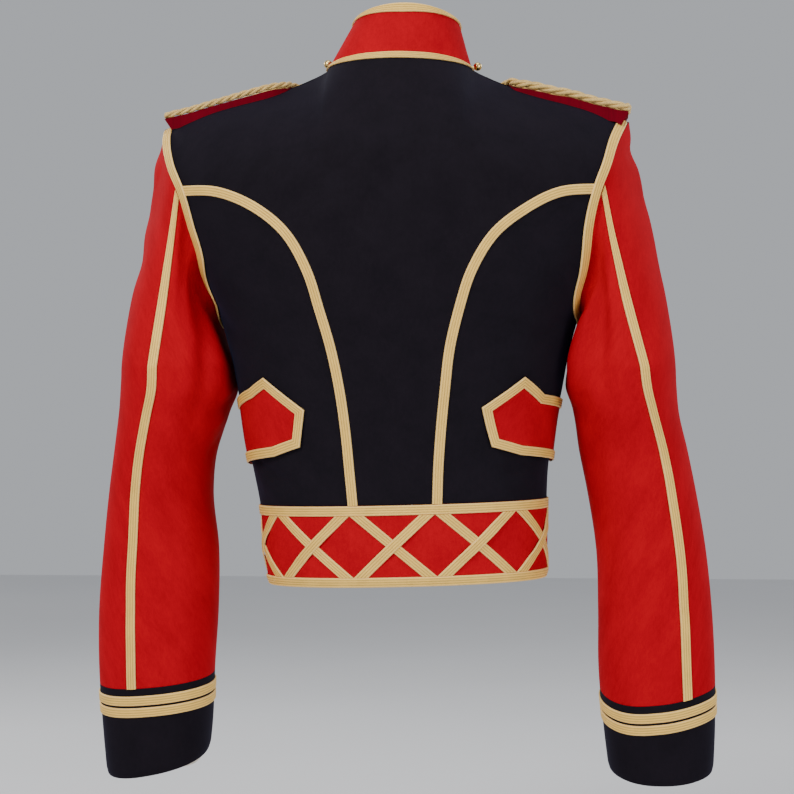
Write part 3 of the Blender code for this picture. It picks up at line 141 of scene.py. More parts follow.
def resampled(points: Points, step: float, closed: bool = False) -> Points:
    """A path of evenly spaced points, about one step apart."""
    if closed:
        points = np.concatenate([points, points[:1]])
    along = run_lengths(points)
    count = max(2, round(along[-1] / step))
    targets = np.linspace(0.0, along[-1], count + 1)
    if closed:
        targets = targets[:-1]
    return np.stack([np.interp(targets, along, column) for column in points.T], axis=1)


@dataclass(frozen=True)
class Crease:
    """A soft trough or ridge along a short path on a surface.

    path: (u, v) places in metres. depth: how far it stands out, negative for a trough.
    width: how far from its path the form dies away. sharp_start: how strong it is at its first point.
    """

    path: tuple[tuple[float, float], ...]
    depth: float
    width: float
    sharp_start: float = 0.0

    def at(self, u: Points, v: Points) -> Points:
        """Returns: how far this crease moves the surface out at (u, v)."""
        nodes = np.asarray(self.path, float)
        runs = run_lengths(nodes)
        best = np.full(np.shape(u), np.inf)
        share = np.zeros(np.shape(u))
        for start, end, before, after in zip(nodes, nodes[1:], runs, runs[1:]):
            du, dv = end - start
            t = np.clip(((u - start[0]) * du + (v - start[1]) * dv) / (du * du + dv * dv), 0.0, 1.0)
            gap = (u - start[0] - t * du) ** 2 + (v - start[1] - t * dv) ** 2
            near = gap < best
            best = np.where(near, gap, best)
            share = np.where(near, (before + t * (after - before)) / runs[-1], share)
        start = np.maximum(np.sin(np.pi * share), self.sharp_start * (1.0 - share))
        return self.depth * start**0.8 * np.exp(-best / self.width**2)


@dataclass(frozen=True)
class Relief:
    """All the creases of one surface."""

    creases: tuple[Crease, ...] = ()

    def at(self, u: Points, v: Points) -> Points:
        """Returns: how far the surface stands out of its plain form at (u, v)."""
        total = np.zeros(np.broadcast(u, v).shape)
        for crease in self.creases:
            total = total + crease.at(u, v)
        return total


# ------------------------------------------------------------------------------------ shading
class Expr:
    """A number or colour in a material, with arithmetic that adds the nodes it needs."""

    def __init__(self, graph: "Graph", socket: bpy.types.NodeSocket) -> None:
        """Args: graph, the material's nodes; socket, the output that carries the value."""
        self.graph = graph
        self.socket = socket

    def _math(self, operation: str, *others: "Expr | float") -> "Expr":
        """Returns: the result of a Math node on this value and the others."""
        node = self.graph.node("ShaderNodeMath", {"operation": operation}, [self, *others])
        return Expr(self.graph, node.outputs[0])

    def __add__(self, other: "Expr | float") -> "Expr":
        return self._math("ADD", other)

    __radd__ = __add__

    def __mul__(self, other: "Expr | float") -> "Expr":
        return self._math("MULTIPLY", other)

    __rmul__ = __mul__

    def __sub__(self, other: "Expr | float") -> "Expr":
        return self._math("SUBTRACT", other)

    def __rsub__(self, other: float) -> "Expr":
        return (self * -1.0) + other

    def __truediv__(self, other: "Expr | float") -> "Expr":
        return self._math("DIVIDE", other)

    def __pow__(self, other: float) -> "Expr":
        return self._math("POWER", other)

    def sine(self) -> "Expr":
        """The sine of this value, in radians."""
        return self._math("SINE")

    def size(self) -> "Expr":
        """This value without its sign."""
        return self._math("ABSOLUTE")

    def fraction(self) -> "Expr":
        """What is left of this value above a whole number."""
        return self._math("FRACT")

    def rise(self, low: float, high: float) -> "Expr":
        """0 below low, 1 above high, smooth between."""
        ends = {"Value": self, "From Min": low, "From Max": high}
        node = self.graph.node("ShaderNodeMapRange", {"interpolation_type": "SMOOTHSTEP"}, ends)
        return Expr(self.graph, node.outputs["Result"])


class Graph:
    """One material's nodes, with its Principled shader."""

    def __init__(self, name: str) -> None:
        """Args: name, the material's name."""
        self.material = bpy.data.materials.new(name)
        self.material.use_nodes = True
        self.tree = self.material.node_tree
        self.shader = self.tree.nodes["Principled BSDF"]

    def node(
        self, kind: str, settings: dict | None = None, inputs: dict | Sequence | None = None
    ) -> bpy.types.Node:
        """Adds any node.

        Args: kind, its type name; settings, its own properties; inputs, values or links by name or place.
        Returns: the node.
        """
        made = self.tree.nodes.new(kind)
        for key, value in (settings or {}).items():
            setattr(made, key, value)
        pairs = inputs.items() if isinstance(inputs, dict) else enumerate(inputs or [])
        for key, value in pairs:
            self.put(made.inputs[key], value)
        return made

    def put(self, socket: bpy.types.NodeSocket, value: "Expr | float | Sequence[float]") -> None:
        """Sets a socket to a value, or links it to an expression."""
        if isinstance(value, Expr):
            self.tree.links.new(value.socket, socket)
        elif hasattr(value, "__len__") and len(value) == 3 and len(socket.default_value) == 4:
            socket.default_value = (*value, 1.0)
        else:
            socket.default_value = value

    def uv(self) -> tuple[Expr, Expr, Expr]:
        """Returns: the whole UV vector, and its two numbers."""
        whole = self.node("ShaderNodeUVMap", {"uv_map": "cloth"})
        parts = self.node("ShaderNodeSeparateXYZ", None, [Expr(self, whole.outputs[0])])
        return (Expr(self, whole.outputs[0]), Expr(self, parts.outputs[0]), Expr(self, parts.outputs[1]))

    def object_place(self) -> Expr:
        """Returns: the place on the object, in metres."""
        return Expr(self, self.node("ShaderNodeTexCoord").outputs["Object"])

    def noise(
        self, place: Expr, scale: float, detail: float = 3.0, stretch: Sequence[float] = (1, 1, 1)
    ) -> Expr:
        """Cloudy variation, 0 to 1, with features about 1 / scale metres across."""
        moved = self.node("ShaderNodeVectorMath", {"operation": "MULTIPLY"}, [place, tuple(stretch)])
        node = self.node(
            "ShaderNodeTexNoise", None,
            {"Vector": Expr(self, moved.outputs[0]), "Scale": scale, "Detail": detail, "Roughness": 0.6},
        )
        return Expr(self, node.outputs["Fac"])

    def blend(self, share: Expr, first: Sequence[float] | Expr, second: Sequence[float] | Expr) -> Expr:
        """A colour between two colours."""
        node = self.node("ShaderNodeMix", {"data_type": "RGBA"})
        self.put(node.inputs[0], share)
        self.put(node.inputs[6], first)
        self.put(node.inputs[7], second)
        return Expr(self, node.outputs[2])

    def bump(self, height: Expr, distance: float, strength: float = 1.0) -> None:
        """Shades the surface as if it rose by height times distance, in metres."""
        inputs = {"Height": height, "Distance": distance, "Strength": strength}
        node = self.node("ShaderNodeBump", None, inputs)
        self.put(self.shader.inputs["Normal"], Expr(self, node.outputs[0]))

    def settle(self, **values: Expr | float | Sequence[float]) -> bpy.types.Material:
        """Sets the shader's sockets, named with _ for spaces, and returns the material."""
        for key, value in values.items():
            self.put(self.shader.inputs[key.replace("_", " ")], value)
        return self.material


@dataclass(frozen=True)
class Wool:
    """Brushed and fulled wool: a short nap over a hidden weave, with a soft sheen at the edges."""

    name: str
    colour: tuple[float, float, float]
    shade: tuple[float, float, float]
    bloom: tuple[float, float, float]
    sheen: float

    def material(self) -> bpy.types.Material:
        """Returns: the wool's material."""
        graph = Graph(self.name)
        place, across, along = graph.uv()
        cloud = graph.noise(place, 26.0, 3.0)
        fibre = graph.noise(place, 900.0, 4.0, (1.0, 0.42, 1.0))
        fleck = graph.noise(place, 260.0, 2.0, (1.0, 0.6, 1.0))
        twill = ((across + along) * (2 * math.pi / 0.0011)).sine() * 0.5 + 0.5
        tone = cloud * 0.55 + fleck * 0.3 + fibre * 0.3
        graph.bump(fibre * 0.7 + fleck * 0.35 + twill * 0.12, 0.00035, 0.55)
        return graph.settle(
            Base_Color=graph.blend(tone.rise(0.3, 0.8), self.shade, self.colour),
            Roughness=fibre * 0.18 + 0.74,
            Sheen_Weight=self.sheen, Sheen_Roughness=0.45, Sheen_Tint=self.bloom, Specular_IOR_Level=0.05,
        )


@dataclass(frozen=True)
class FlatBraid:
    """Flat braid woven of gilt thread: ribs along it, and fine slanting threads across each rib."""

    name: str = "gold braid"
    light: tuple[float, float, float] = (1.0, 0.62, 0.13)
    dark: tuple[float, float, float] = (0.46, 0.27, 0.05)
    edge: tuple[float, float, float] = (1.0, 0.68, 0.27)
    ribs: int = 4

    def material(self) -> bpy.types.Material:
        """Returns: the braid's material, over a map 0 to 1 across it and in metres along it."""
        graph = Graph(self.name)
        place, across, along = graph.uv()
        rib = (across * (math.pi * self.ribs)).sine().size()
        half = (across * self.ribs).fraction() - 0.5
        chevron = ((along * 1150.0 + half.size() * 2.2) * (2 * math.pi)).sine() * 0.5 + 0.5
        wear = graph.noise(place, 55.0, 3.0, (0.01, 1.0, 1.0))
        thread = graph.noise(place, 1400.0, 2.0, (0.01, 1.0, 1.0))
        # painted shade and highlight: the rib and chevron terms follow the bump's height, so the colour is
        # darker in the grooves between ribs and threads and lighter on their crests; wear and thread add
        # random tone
        tone = rib * 0.42 + chevron * 0.22 + wear * 0.34 + thread * 0.22
        gilt = graph.blend(tone.rise(0.22, 0.92), self.dark, self.light)
        border = ((across - 0.5).size() * 2.0).rise(0.7, 0.86)
        graph.bump(rib * 0.7 + chevron * 0.35 + thread * 0.2, 0.0003, 0.8)
        return graph.settle(
            Base_Color=graph.blend(border * 0.6, gilt, self.edge), Roughness=0.62 - rib * 0.16,
            Metallic=0.12, Specular_IOR_Level=0.4,
        )


@dataclass(frozen=True)
class CordStrand:
    """One strand of twisted gilt cord, wound with fine thread."""

    name: str = "gold cord"
    light: tuple[float, float, float] = (1.0, 0.72, 0.26)
    dark: tuple[float, float, float] = (0.4, 0.22, 0.055)

    def material(self) -> bpy.types.Material:
        """Returns: the strand's material, over a map 0 to 1 round it and in metres along it."""
        graph = Graph(self.name)
        place, around, along = graph.uv()
        winding = ((along * 1500.0 + around * 2.0) * (2 * math.pi)).sine() * 0.5 + 0.5
        wear = graph.noise(place, 120.0, 3.0, (0.02, 1.0, 1.0))
        # painted shade: the colour follows the winding's height, darker in the grooves between the turns of
        # thread and lighter on their crests; wear adds random tone
        tone = winding * 0.5 + wear * 0.6
        colour = graph.blend(tone.rise(0.2, 0.95), self.dark, self.light)
        graph.bump(winding, 0.00022, 0.8)
        return graph.settle(Base_Color=colour, Roughness=0.58 - winding * 0.14, Metallic=0.1)


@dataclass(frozen=True)
class PaleCotton:
    """Smooth pale lining cloth."""

    name: str = "pale lining"
    thread: float = 0.0006

    def material(self) -> bpy.types.Material:
        """Returns: the lining's material."""
        graph = Graph(self.name)
        place, across, along = graph.uv()
        pitch = 2 * math.pi / self.thread
        weave = (across * pitch).sine() * (along * pitch).sine()
        cloud = graph.noise(place, 40.0)
        colour = graph.blend(cloud, (0.52, 0.47, 0.38), (0.72, 0.68, 0.6))
        graph.bump(weave, 0.00008, 0.5)
        return graph.settle(Base_Color=colour, Roughness=cloud * 0.1 + 0.7, Sheen_Weight=0.2)


@dataclass(frozen=True)
class GiltBrass:
    """Polished brass with faint handling marks."""

    name: str = "brass"

    def material(self) -> bpy.types.Material:
        """Returns: the brass's material."""
        graph = Graph(self.name)
        marks = graph.noise(graph.object_place(), 420.0, 4.0)
        colour = graph.blend(marks, (0.62, 0.4, 0.12), (0.9, 0.68, 0.3))
        graph.bump(marks, 0.00006, 0.35)
        return graph.settle(Base_Color=colour, Roughness=marks * 0.25 + 0.14, Metallic=1.0)


@dataclass
class Finishes:
    """The jacket's materials, each made once."""

    slots: dict[str, bpy.types.Material] = field(init=False)
    board_red: bpy.types.Material = field(init=False)

    def __post_init__(self) -> None:
        """Makes each material, by the record's slot that it stands for, and a darker copy of the red wool for
        the shoulder boards, which is painted shade.
        """
        navy = Wool("navy wool", (0.0105, 0.008, 0.0118), (0.0066, 0.0052, 0.0076), (0.2, 0.2, 0.5), 0.07)
        red = Wool("red wool", (0.47, 0.0008, 0.01), (0.34, 0.0005, 0.007), (1.0, 0.08, 0.08), 0.01)
        # painted shade: the shoulder boards take a darker, shaded copy of the red wool
        shaded_board_wool = Wool("board red wool with painted shade", (0.16, 0.0016, 0.0085), (0.1, 0.001, 0.0055), (1.0, 0.1, 0.1), 0.01)
        self.board_red = shaded_board_wool.material()
        finishes = {
            "navy_wool": navy, "red_wool": red, "gold_braid": FlatBraid(),
            "gold_cord": CordStrand(), "pale_lining": PaleCotton(), "brass": GiltBrass(),
        }
        self.slots = {slot: finish.material() for slot, finish in finishes.items()}


# ------------------------------------------------------------------------------------ meshes
@dataclass
class Workshop:
    """Makes the jacket's pieces, hangs each one from the root and hides the solids that it stands for."""

    finishes: Finishes
    cuts: list[str] = field(default_factory=list)

    def mesh(
        self,
        name: str,
        vertices: Points,
        faces: Sequence[Sequence[int]],
        uvs: Points,
        slot: str,
        sharp: float = 50.0,
        weld: bool = False,
    ) -> bpy.types.Object:
        """Makes one object from points, faces and a map place for each point.

        Args: name; vertices, N x 3 metres; faces; uvs, N x 2; slot, the record's material slot;
            sharp, the angle in degrees over which an edge stays sharp; weld, true to join points
            that lie on each other.
        Returns: the object, at the origin, unturned.
        """
        data = bpy.data.meshes.new(name)
        data.from_pydata(np.asarray(vertices, float).tolist(), [], [tuple(face) for face in faces])
        layer = data.uv_layers.new(name="cloth")
        corners = np.empty(len(data.loops), np.int32)
        data.loops.foreach_get("vertex_index", corners)
        layer.data.foreach_set("uv", np.asarray(uvs, np.float32)[corners].ravel())
        work = bmesh.new()
        work.from_mesh(data)
        if weld:
            bmesh.ops.remove_doubles(work, verts=work.verts, dist=1e-7)
        if all(len(edge.link_faces) == 2 for edge in work.edges):
            bmesh.ops.recalc_face_normals(work, faces=work.faces)
            if work.calc_volume(signed=True) < 0:
                bmesh.ops.reverse_faces(work, faces=work.faces)
        work.to_mesh(data)
        work.free()
        data.shade_smooth()
        data.set_sharp_from_angle(angle=math.radians(sharp))
        data.materials.append(self.finishes.slots[slot])
        piece = bpy.data.objects.new(name, data)
        bpy.context.scene.collection.objects.link(piece)
        return piece

    def declare(self, piece: bpy.types.Object, nodes: Sequence[str], slot: str) -> bpy.types.Object:
        """Hangs a piece from the root, hides the solids that it stands for, and logs its count of points."""
        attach(piece, "root")
        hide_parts(*nodes)
        LOG.info("%s: %d points", piece.name, len(getattr(piece.data, "vertices", ())))
        return piece

    def cloth(
        self,
        node: str,
        grid: Points,
        slot: str,
        thickness: float,
        closed: bool = False,
        held: str = "stretched",
        rests_on: Sequence[str] = (),
        inside: tuple[float, float] = (0.0, 0.0),
        round_edge: float = 0.0006,
    ) -> bpy.types.Object:
        """Makes a shell of cloth from a grid of points on its outer face.

        Args: node, the solid it stands for; grid, rows x columns x 3; slot; thickness, metres inwards;
            closed, true if the columns run all the way round; held, how the cloth is held, not used;
            rests_on, what it lies on or hangs from, not used; inside, where the upright line runs that the
            outer face looks away from; round_edge, how far the cut edges are rounded.
        Returns: the piece.
        """
        facing = np.cross(np.gradient(grid, axis=1), np.gradient(grid, axis=0))[..., :2]
        if (facing * (grid[..., :2] - np.array(inside))).sum() < 0:
            grid = grid[:, ::-1]
        if closed:
            grid = np.concatenate([grid, grid[:, :1]], axis=1)
        rows, columns = grid.shape[:2]
        along_row, down = run_lengths(np.swapaxes(grid, 0, 1)).T, run_lengths(grid)
        uvs = np.stack([along_row - along_row.mean(axis=1, keepdims=True), down], axis=-1).reshape(-1, 2)
        index = np.arange(rows * columns).reshape(rows, columns)
        if closed:
            index[:, -1] = index[:, 0]
        faces = quads_of(index)
        data_points = grid.reshape(-1, 3)
        if closed:
            keep = index[:, :-1].ravel()
            renumber = np.zeros(rows * columns, int)
            renumber[keep] = np.arange(len(keep))
            faces = renumber[faces]
            data_points, uvs = data_points[keep], uvs[keep]
        piece = self.mesh(node + "_cloth", data_points, faces.tolist(), uvs, slot, 70.0)
        if closed:
            self._mend_seam_uvs(piece, along_row, rows, columns)
        shell = piece.modifiers.new("thickness", "SOLIDIFY")
        shell.thickness = thickness
        shell.offset = -1.0
        shell.use_even_offset = False
        if round_edge > 0.0:
            soft = piece.modifiers.new("turned edge", "BEVEL")
            soft.limit_method = "ANGLE"
            soft.angle_limit = math.radians(65.0)
            soft.width = round_edge
            soft.segments = 2
        corners = grid[:-1, :-1], grid[1:, :-1], grid[1:, 1:], grid[:-1, 1:]
        area = float(
            np.linalg.norm(np.cross(corners[2] - corners[0], corners[3] - corners[1]), axis=-1).sum() / 2
        )
        width, length = float(along_row[:, -1].max()), float(down[-1].max())
        self.cuts.append(f"{node}: {width * 1000:.0f} x {length * 1000:.0f} mm, {area * 1e4:.0f} cm2")
        return self.declare(piece, [node], slot)

    @staticmethod
    def _mend_seam_uvs(piece: bpy.types.Object, along_row: Points, rows: int, columns: int) -> None:
        """Gives the last column of faces of a closed grid the map places past the seam."""
        data = piece.data
        layer = data.uv_layers["cloth"].data
        for row in range(rows - 1):
            face = data.polygons[row * (columns - 1) + columns - 2]
            for corner in face.loop_indices:
                vertex = data.loops[corner].vertex_index
                if vertex % (columns - 1) == 0:
                    at = vertex // (columns - 1)
                    layer[corner].uv[0] += float(along_row[at, -1])

    def strip(
        self,
        base: Points,
        out: Points,
        lift: float | Points,
        height: float,
        loop: bool = False,
        ribs: int = 4,
    ) -> Strip:
        """Works out a flat ribbed braid lying on a surface.

        Args: base, rows x columns x 3, the surface under it, columns running across; out, the
            unit normals there; lift, how far its underside stands off, one number or one a row;
            height, its thickness; loop, true if it runs round into itself; ribs, how many there are.
        Returns: points, faces and map places, 0 to 1 across and in metres along.
        """
        rows, columns = base.shape[:2]
        across = np.linspace(0.0, 1.0, columns)
        from_edge = np.minimum(across, 1.0 - across)
        rounded = np.sqrt(np.clip(1.0 - (1.0 - np.minimum(from_edge / 0.09, 1.0)) ** 2, 0.0, 1.0))
        crown = height * (0.3 + 0.6 * rounded + 0.1 * np.abs(np.sin(np.pi * ribs * across)))
        lift = np.broadcast_to(np.asarray(lift, float), (rows,))[:, None]
        top = base + out * (lift + crown[None])[..., None]
        under = (base + out * lift[..., None])[:, ::-1][:, [0, columns // 2, columns - 1]]
        ring = np.concatenate([top, under], axis=1)
        around = columns + 3
        middle = base[:, columns // 2]
        along = run_lengths(np.concatenate([middle, middle[:1]]) if loop else middle)
        ring_u = np.concatenate([across, [1.0, 0.5, 0.0]])
        if loop:
            ring = np.concatenate([ring, ring[:1]])
        rows = len(ring)
        uvs = np.stack(np.broadcast_arrays(ring_u[None], along[:, None]), axis=-1)
        faces = []
        for row in range(rows - 1):
            for spot in range(around):
                beside = (spot + 1) % around
                here, there = row * around, (row + 1) * around
                faces.append((here + spot, here + beside, there + beside, there + spot))
        if not loop:
            faces.append(tuple(reversed(range(around))))
            faces.append(tuple((rows - 1) * around + spot for spot in range(around)))
        return ring.reshape(-1, 3), faces, uvs.reshape(-1, 2)

    def flat_braid(
        self, node: str, base: Points, out: Points, lift: float | Points, height: float, **form: bool | int
    ) -> None:
        """Makes a piece of one strip; form holds strip's loop and ribs."""
        self.braid(node, [self.strip(base, out, lift, height, **form)])

    def braid(self, node: str, strips: Iterable[Strip], slot: str = "gold_braid") -> bpy.types.Object:
        points, faces, uvs, count = [], [], [], 0
        for strip_points, strip_faces, strip_uvs in strips:
            points.append(strip_points)
            uvs.append(strip_uvs)
            faces += [tuple(index + count for index in face) for face in strip_faces]
            count += len(strip_points)
        points, uvs = np.concatenate(points), np.concatenate(uvs)
        piece = self.mesh(node + "_trim", points, faces, uvs, slot, 60.0, weld=True)
        return self.declare(piece, [node], slot)


# ------------------------------------------------------------------------------------ the body
@dataclass(frozen=True)
class Section:
    """One level section of the body."""

    height: float
    half_width: float
    back_depth: float
    front_depth: float
    roundness: float
    sway: float
    roll: float


TRUNK_SECTIONS = (
    Section(0.01, 0.275, 0.088, 0.092, 2.5, 0.0, 0.0),
    Section(-0.05, 0.262, 0.102, 0.108, 2.5, 0.0, 0.0),
    Section(-0.1, 0.246, 0.113, 0.124, 2.5, 0.0, 0.0),
    Section(-0.15, 0.224, 0.119, 0.136, 2.5, 0.0005, 0.0),
    Section(-0.2, 0.2, 0.121, 0.14, 2.5, 0.0005, 0.0),
    Section(-0.25, 0.1785, 0.119, 0.137, 2.4, 0.0005, 0.0),
    Section(-0.285, 0.169, 0.116, 0.132, 2.35, 0.0005, 0.0),
    Section(-0.32, 0.162, 0.113, 0.126, 2.3, 0.0, 0.002),
    Section(-0.36, 0.1545, 0.11, 0.119, 2.2, 0.0005, 0.008),
    Section(-0.4, 0.147, 0.107, 0.113, 2.2, -0.001, 0.018),
    Section(-0.432, 0.143, 0.105, 0.109, 2.2, -0.0035, 0.026),
    Section(-0.47, 0.1412, 0.104, 0.107, 2.2, -0.0055, 0.028),
    Section(-0.511, 0.1385, 0.103, 0.105, 2.2, -0.008, 0.028),
)
SHOULDER_RIDGE = (
    (0.0725, -0.0035), (0.085, -0.0095), (0.095, -0.0142), (0.108, -0.0192), (0.125, -0.024),
    (0.15, -0.0305), (0.19, -0.042), (0.2365, -0.06), (0.26, -0.071),
)
BODY_CREASES = Relief((
    # below the flaps, where the cloth is pinched in at the waist
    Crease(((0.172, -0.392), (0.15, -0.402), (0.12, -0.412)), -0.0034, 0.0075, 0.9),
    Crease(((0.17, -0.412), (0.146, -0.42), (0.112, -0.424)), 0.0016, 0.008, 0.6),
    Crease(((-0.176, -0.388), (-0.15, -0.398), (-0.128, -0.404)), -0.003, 0.007, 0.9),
    Crease(((-0.176, -0.41), (-0.15, -0.414), (-0.118, -0.42)), 0.0014, 0.008, 0.5),
    # under the arms
    Crease(((0.205, -0.235), (0.176, -0.262), (0.14, -0.28)), -0.002, 0.011, 0.8),
    Crease(((-0.205, -0.24), (-0.172, -0.258), (-0.134, -0.27)), -0.002, 0.012, 0.8),
    Crease(((0.2, -0.29), (0.17, -0.302), (0.128, -0.306)), -0.0012, 0.012, 0.5),
    Crease(((-0.196, -0.3), (-0.166, -0.31), (-0.12, -0.322)), -0.0012, 0.013, 0.5),
    # across the shoulder blades and down the hollow of the back
    Crease(((0.03, -0.1), (0.06, -0.128), (0.1, -0.15)), -0.0012, 0.022),
    Crease(((-0.036, -0.11), (-0.07, -0.136), (-0.112, -0.15)), -0.0011, 0.024),
    Crease(((0.004, -0.2), (-0.004, -0.3), (0.002, -0.42)), -0.0016, 0.026),
    Crease(((0.02, -0.385), (0.006, -0.4), (-0.026, -0.408)), -0.0009, 0.011),
    Crease(((-0.062, -0.395), (-0.078, -0.402), (-0.1, -0.404)), -0.0009, 0.01),
    Crease(((0.058, -0.396), (0.08, -0.404), (0.104, -0.402)), -0.001, 0.01),
    # soft upright hollows below the sides of the neck
    Crease(((0.045, -0.042), (0.047, -0.085), (0.044, -0.128)), -0.0006, 0.009, 0.8),
    Crease(((-0.046, -0.04), (-0.048, -0.08), (-0.046, -0.118)), -0.0006, 0.009, 0.8),
    # fronts: drag lines from the armholes to the buttons, and soft ones over the waist
    Crease(((0.28, -0.18), (0.33, -0.205), (0.4, -0.212)), -0.0014, 0.015),
    Crease(((-0.276, -0.176), (-0.336, -0.2), (-0.402, -0.214)), -0.0014, 0.016),
    Crease(((0.3, -0.3), (0.36, -0.322), (0.43, -0.318)), -0.0012, 0.015),
    Crease(((-0.302, -0.306), (-0.352, -0.318), (-0.42, -0.33)), -0.0012, 0.014),
    Crease(((0.262, -0.392), (0.31, -0.404), (0.368, -0.402)), -0.0014, 0.011),
    Crease(((-0.25, -0.39), (-0.306, -0.402), (-0.36, -0.408)), -0.0013, 0.011),
))


@dataclass
class Trunk:
    """The body's outer surface, with its creases."""

    neck_half_width: float = 0.0725
    neck_back: tuple[float, float] = (0.06, 0.0025)
    neck_front: tuple[float, float] = (-0.08, -0.055)
    neck_side_height: float = -0.0035
    closing: float = 0.1
    closing_power: float = 2.2
    ridge_rounding: float = 0.7
    ridge_round_from: float = 0.22
    relief: Relief = BODY_CREASES
    relief_fade: tuple[float, float] = (-0.03, -0.075)
    waist_fade: tuple[float, float] = (-0.424, -0.436)
    ring_height: float = -0.3

    def __post_init__(self) -> None:
        """Makes smooth functions of the table of sections."""
        heights = [section.height for section in TRUNK_SECTIONS]
        for name in ("half_width", "back_depth", "front_depth", "roundness", "sway", "roll"):
            setattr(self, name, Smooth(heights, [getattr(section, name) for section in TRUNK_SECTIONS]))
        self.ridge = Smooth(*zip(*SHOULDER_RIDGE))
        self.chest_ring = self.ring(self.ring_height)

    def top(self, across: Points, front: Points) -> tuple[Points, Points]:
        """Returns: how far back and how high the body ends, at the neckline or the shoulder seam."""
        reach = np.abs(across) / self.neck_half_width
        swing = np.sqrt(np.clip(1.0 - reach**2, 0.0, 1.0))
        depth = np.where(front, self.neck_front[0], self.neck_back[0])
        middle = np.where(front, self.neck_front[1], self.neck_back[1])
        side = self.neck_side_height
        neck_height = side + (middle - side) * swing ** np.where(front, 1.4, 1.0)
        in_neck = reach < 1.0
        ridge = self.ridge(np.maximum(np.abs(across), self.neck_half_width))
        return np.where(in_neck, depth * swing, 0.0), np.where(in_neck, neck_height, ridge)

    def plain(self, angle: Points, height: Points) -> Points:
        """Returns: points of the surface without its creases."""
        angle, height = paired(angle, height)
        power = 2.0 / self.roundness(height)
        sine, cosine = np.sin(angle), np.cos(angle)
        front = cosine < 0
        across = self.half_width(height) * np.sign(sine) * np.abs(sine) ** power
        depth = np.where(front, -self.front_depth(height), self.back_depth(height))
        back = depth * np.abs(cosine) ** power
        end_back, end_height = self.top(across, front)
        rise = np.clip((end_height - height) / self.closing, 0.0, 1.0)
        over = 1.0 + self.ridge_rounding * ease(np.abs(across), self.neck_half_width, self.ridge_round_from)
        share = (1.0 - (1.0 - rise) ** self.closing_power) ** (1.0 / over)
        back = end_back + (back - end_back) * share
        return np.stack([across + self.sway(height), back, height - self.roll(height) * across], axis=-1)

    def normal(self, angle: Points, height: Points) -> Points:
        """Returns: outward unit normals of the plain surface."""
        angle, height = paired(angle, height)
        along = self.plain(angle + 1e-3, height) - self.plain(angle - 1e-3, height)
        up = self.plain(angle, height) - self.plain(angle, height - 8e-4)
        return unit(np.cross(up, along))

    def ring(self, height: float) -> tuple[Points, Points]:
        """Returns: angles all round, and how far each lies from the centre back, + to the left."""
        angles = np.linspace(-np.pi, np.pi, RING_STEPS)
        along = run_lengths(self.plain(angles, np.full(RING_STEPS, height)))
        return angles, along - np.interp(0.0, angles, along)

    def point(self, angle: Points, height: Points, lift: Points | float = 0.0) -> Points:
        """Returns: points of the creased surface, moved out by lift."""
        angle, height = paired(angle, height)
        form = self.relief.at(np.interp(angle, *self.chest_ring), height)
        form = form * ease(-height, -self.relief_fade[0], -self.relief_fade[1])
        form = form * (1.0 - ease(-height, -self.waist_fade[0], -self.waist_fade[1]))
        out = np.asarray(lift, float) + form
        return self.plain(angle, height) + self.normal(angle, height) * out[..., None]

    def shifted(self, angle: Points, height: Points, move: Points) -> tuple[Points, Points]:
        """Returns: the (angle, height) nearest to these plain points moved by move."""
        target = self.plain(angle, height) + move
        angle, height = np.array(angle, float), np.array(height, float)
        for _ in range(3):
            here = self.plain(angle, height)
            along = (self.plain(angle + 1e-3, height) - self.plain(angle - 1e-3, height)) / 2e-3
            down = (here - self.plain(angle, height - 1e-3)) / 1e-3
            miss = target - here
            a, b, c = (along**2).sum(-1), (along * down).sum(-1), (down**2).sum(-1)
            p, q = (miss * along).sum(-1), (miss * down).sum(-1)
            whole = a * c - b * b
            angle = angle + (p * c - q * b) / whole
            height = height + (q * a - p * b) / whole
        return angle, height

    def angle_at(self, across: Points, height: Points, front: bool = False) -> Points:
        """Returns: the angle at which the surface is this far across, from its own middle."""
        share = np.clip(np.abs(across) / self.half_width(height), 0.0, 1.0)
        angle = np.arcsin(share ** (self.roundness(height) / 2.0))
        angle = np.where(front, np.pi - angle, angle)
        return angle * np.where(np.asarray(across) < 0, -1.0, 1.0)

    def angles_round(self, height: float) -> Callable[[Points], Points]:
        """Returns: a function from distance round the body at this height to angle."""
        angles, along = self.ring(height)
        return lambda distance: np.interp(distance, along, angles)

    def girth(self, height: float) -> float:
        """Returns: the distance all the way round at this height."""
        along = self.ring(height)[1]
        return float(along[-1] - along[0])


# ------------------------------------------------------------------------------------ seams
ARMHOLE = (
    # height, how far out on the back at the left and the right, and on the front
    (-0.06, 0.2365, 0.226, 0.231), (-0.08, 0.233, 0.217, 0.217), (-0.107, 0.2235, 0.2085, 0.2),
    (-0.127, 0.2132, 0.201, 0.19), (-0.166, 0.2011, 0.192, 0.178), (-0.186, 0.195, 0.1896, 0.1757),
    (-0.205, 0.1925, 0.1862, 0.174), (-0.23, 0.184, 0.1785, 0.17),
)
PRINCESS = (
    # how far out and how high, at the left, then at the right
    (0.0411, -0.432, 0.04, -0.432), (0.0415, -0.4, 0.0436, -0.4), (0.0438, -0.36, 0.0479, -0.36),
    (0.0499, -0.32, 0.0515, -0.32), (0.057, -0.283, 0.0565, -0.283), (0.068, -0.245, 0.0655, -0.245),
    (0.0802, -0.207, 0.078, -0.207), (0.103, -0.169, 0.1025, -0.169), (0.127, -0.149, 0.1255, -0.1508),
    (0.168, -0.1305, 0.16, -0.1325), (0.2145, -0.1265, 0.1995, -0.1275),
)


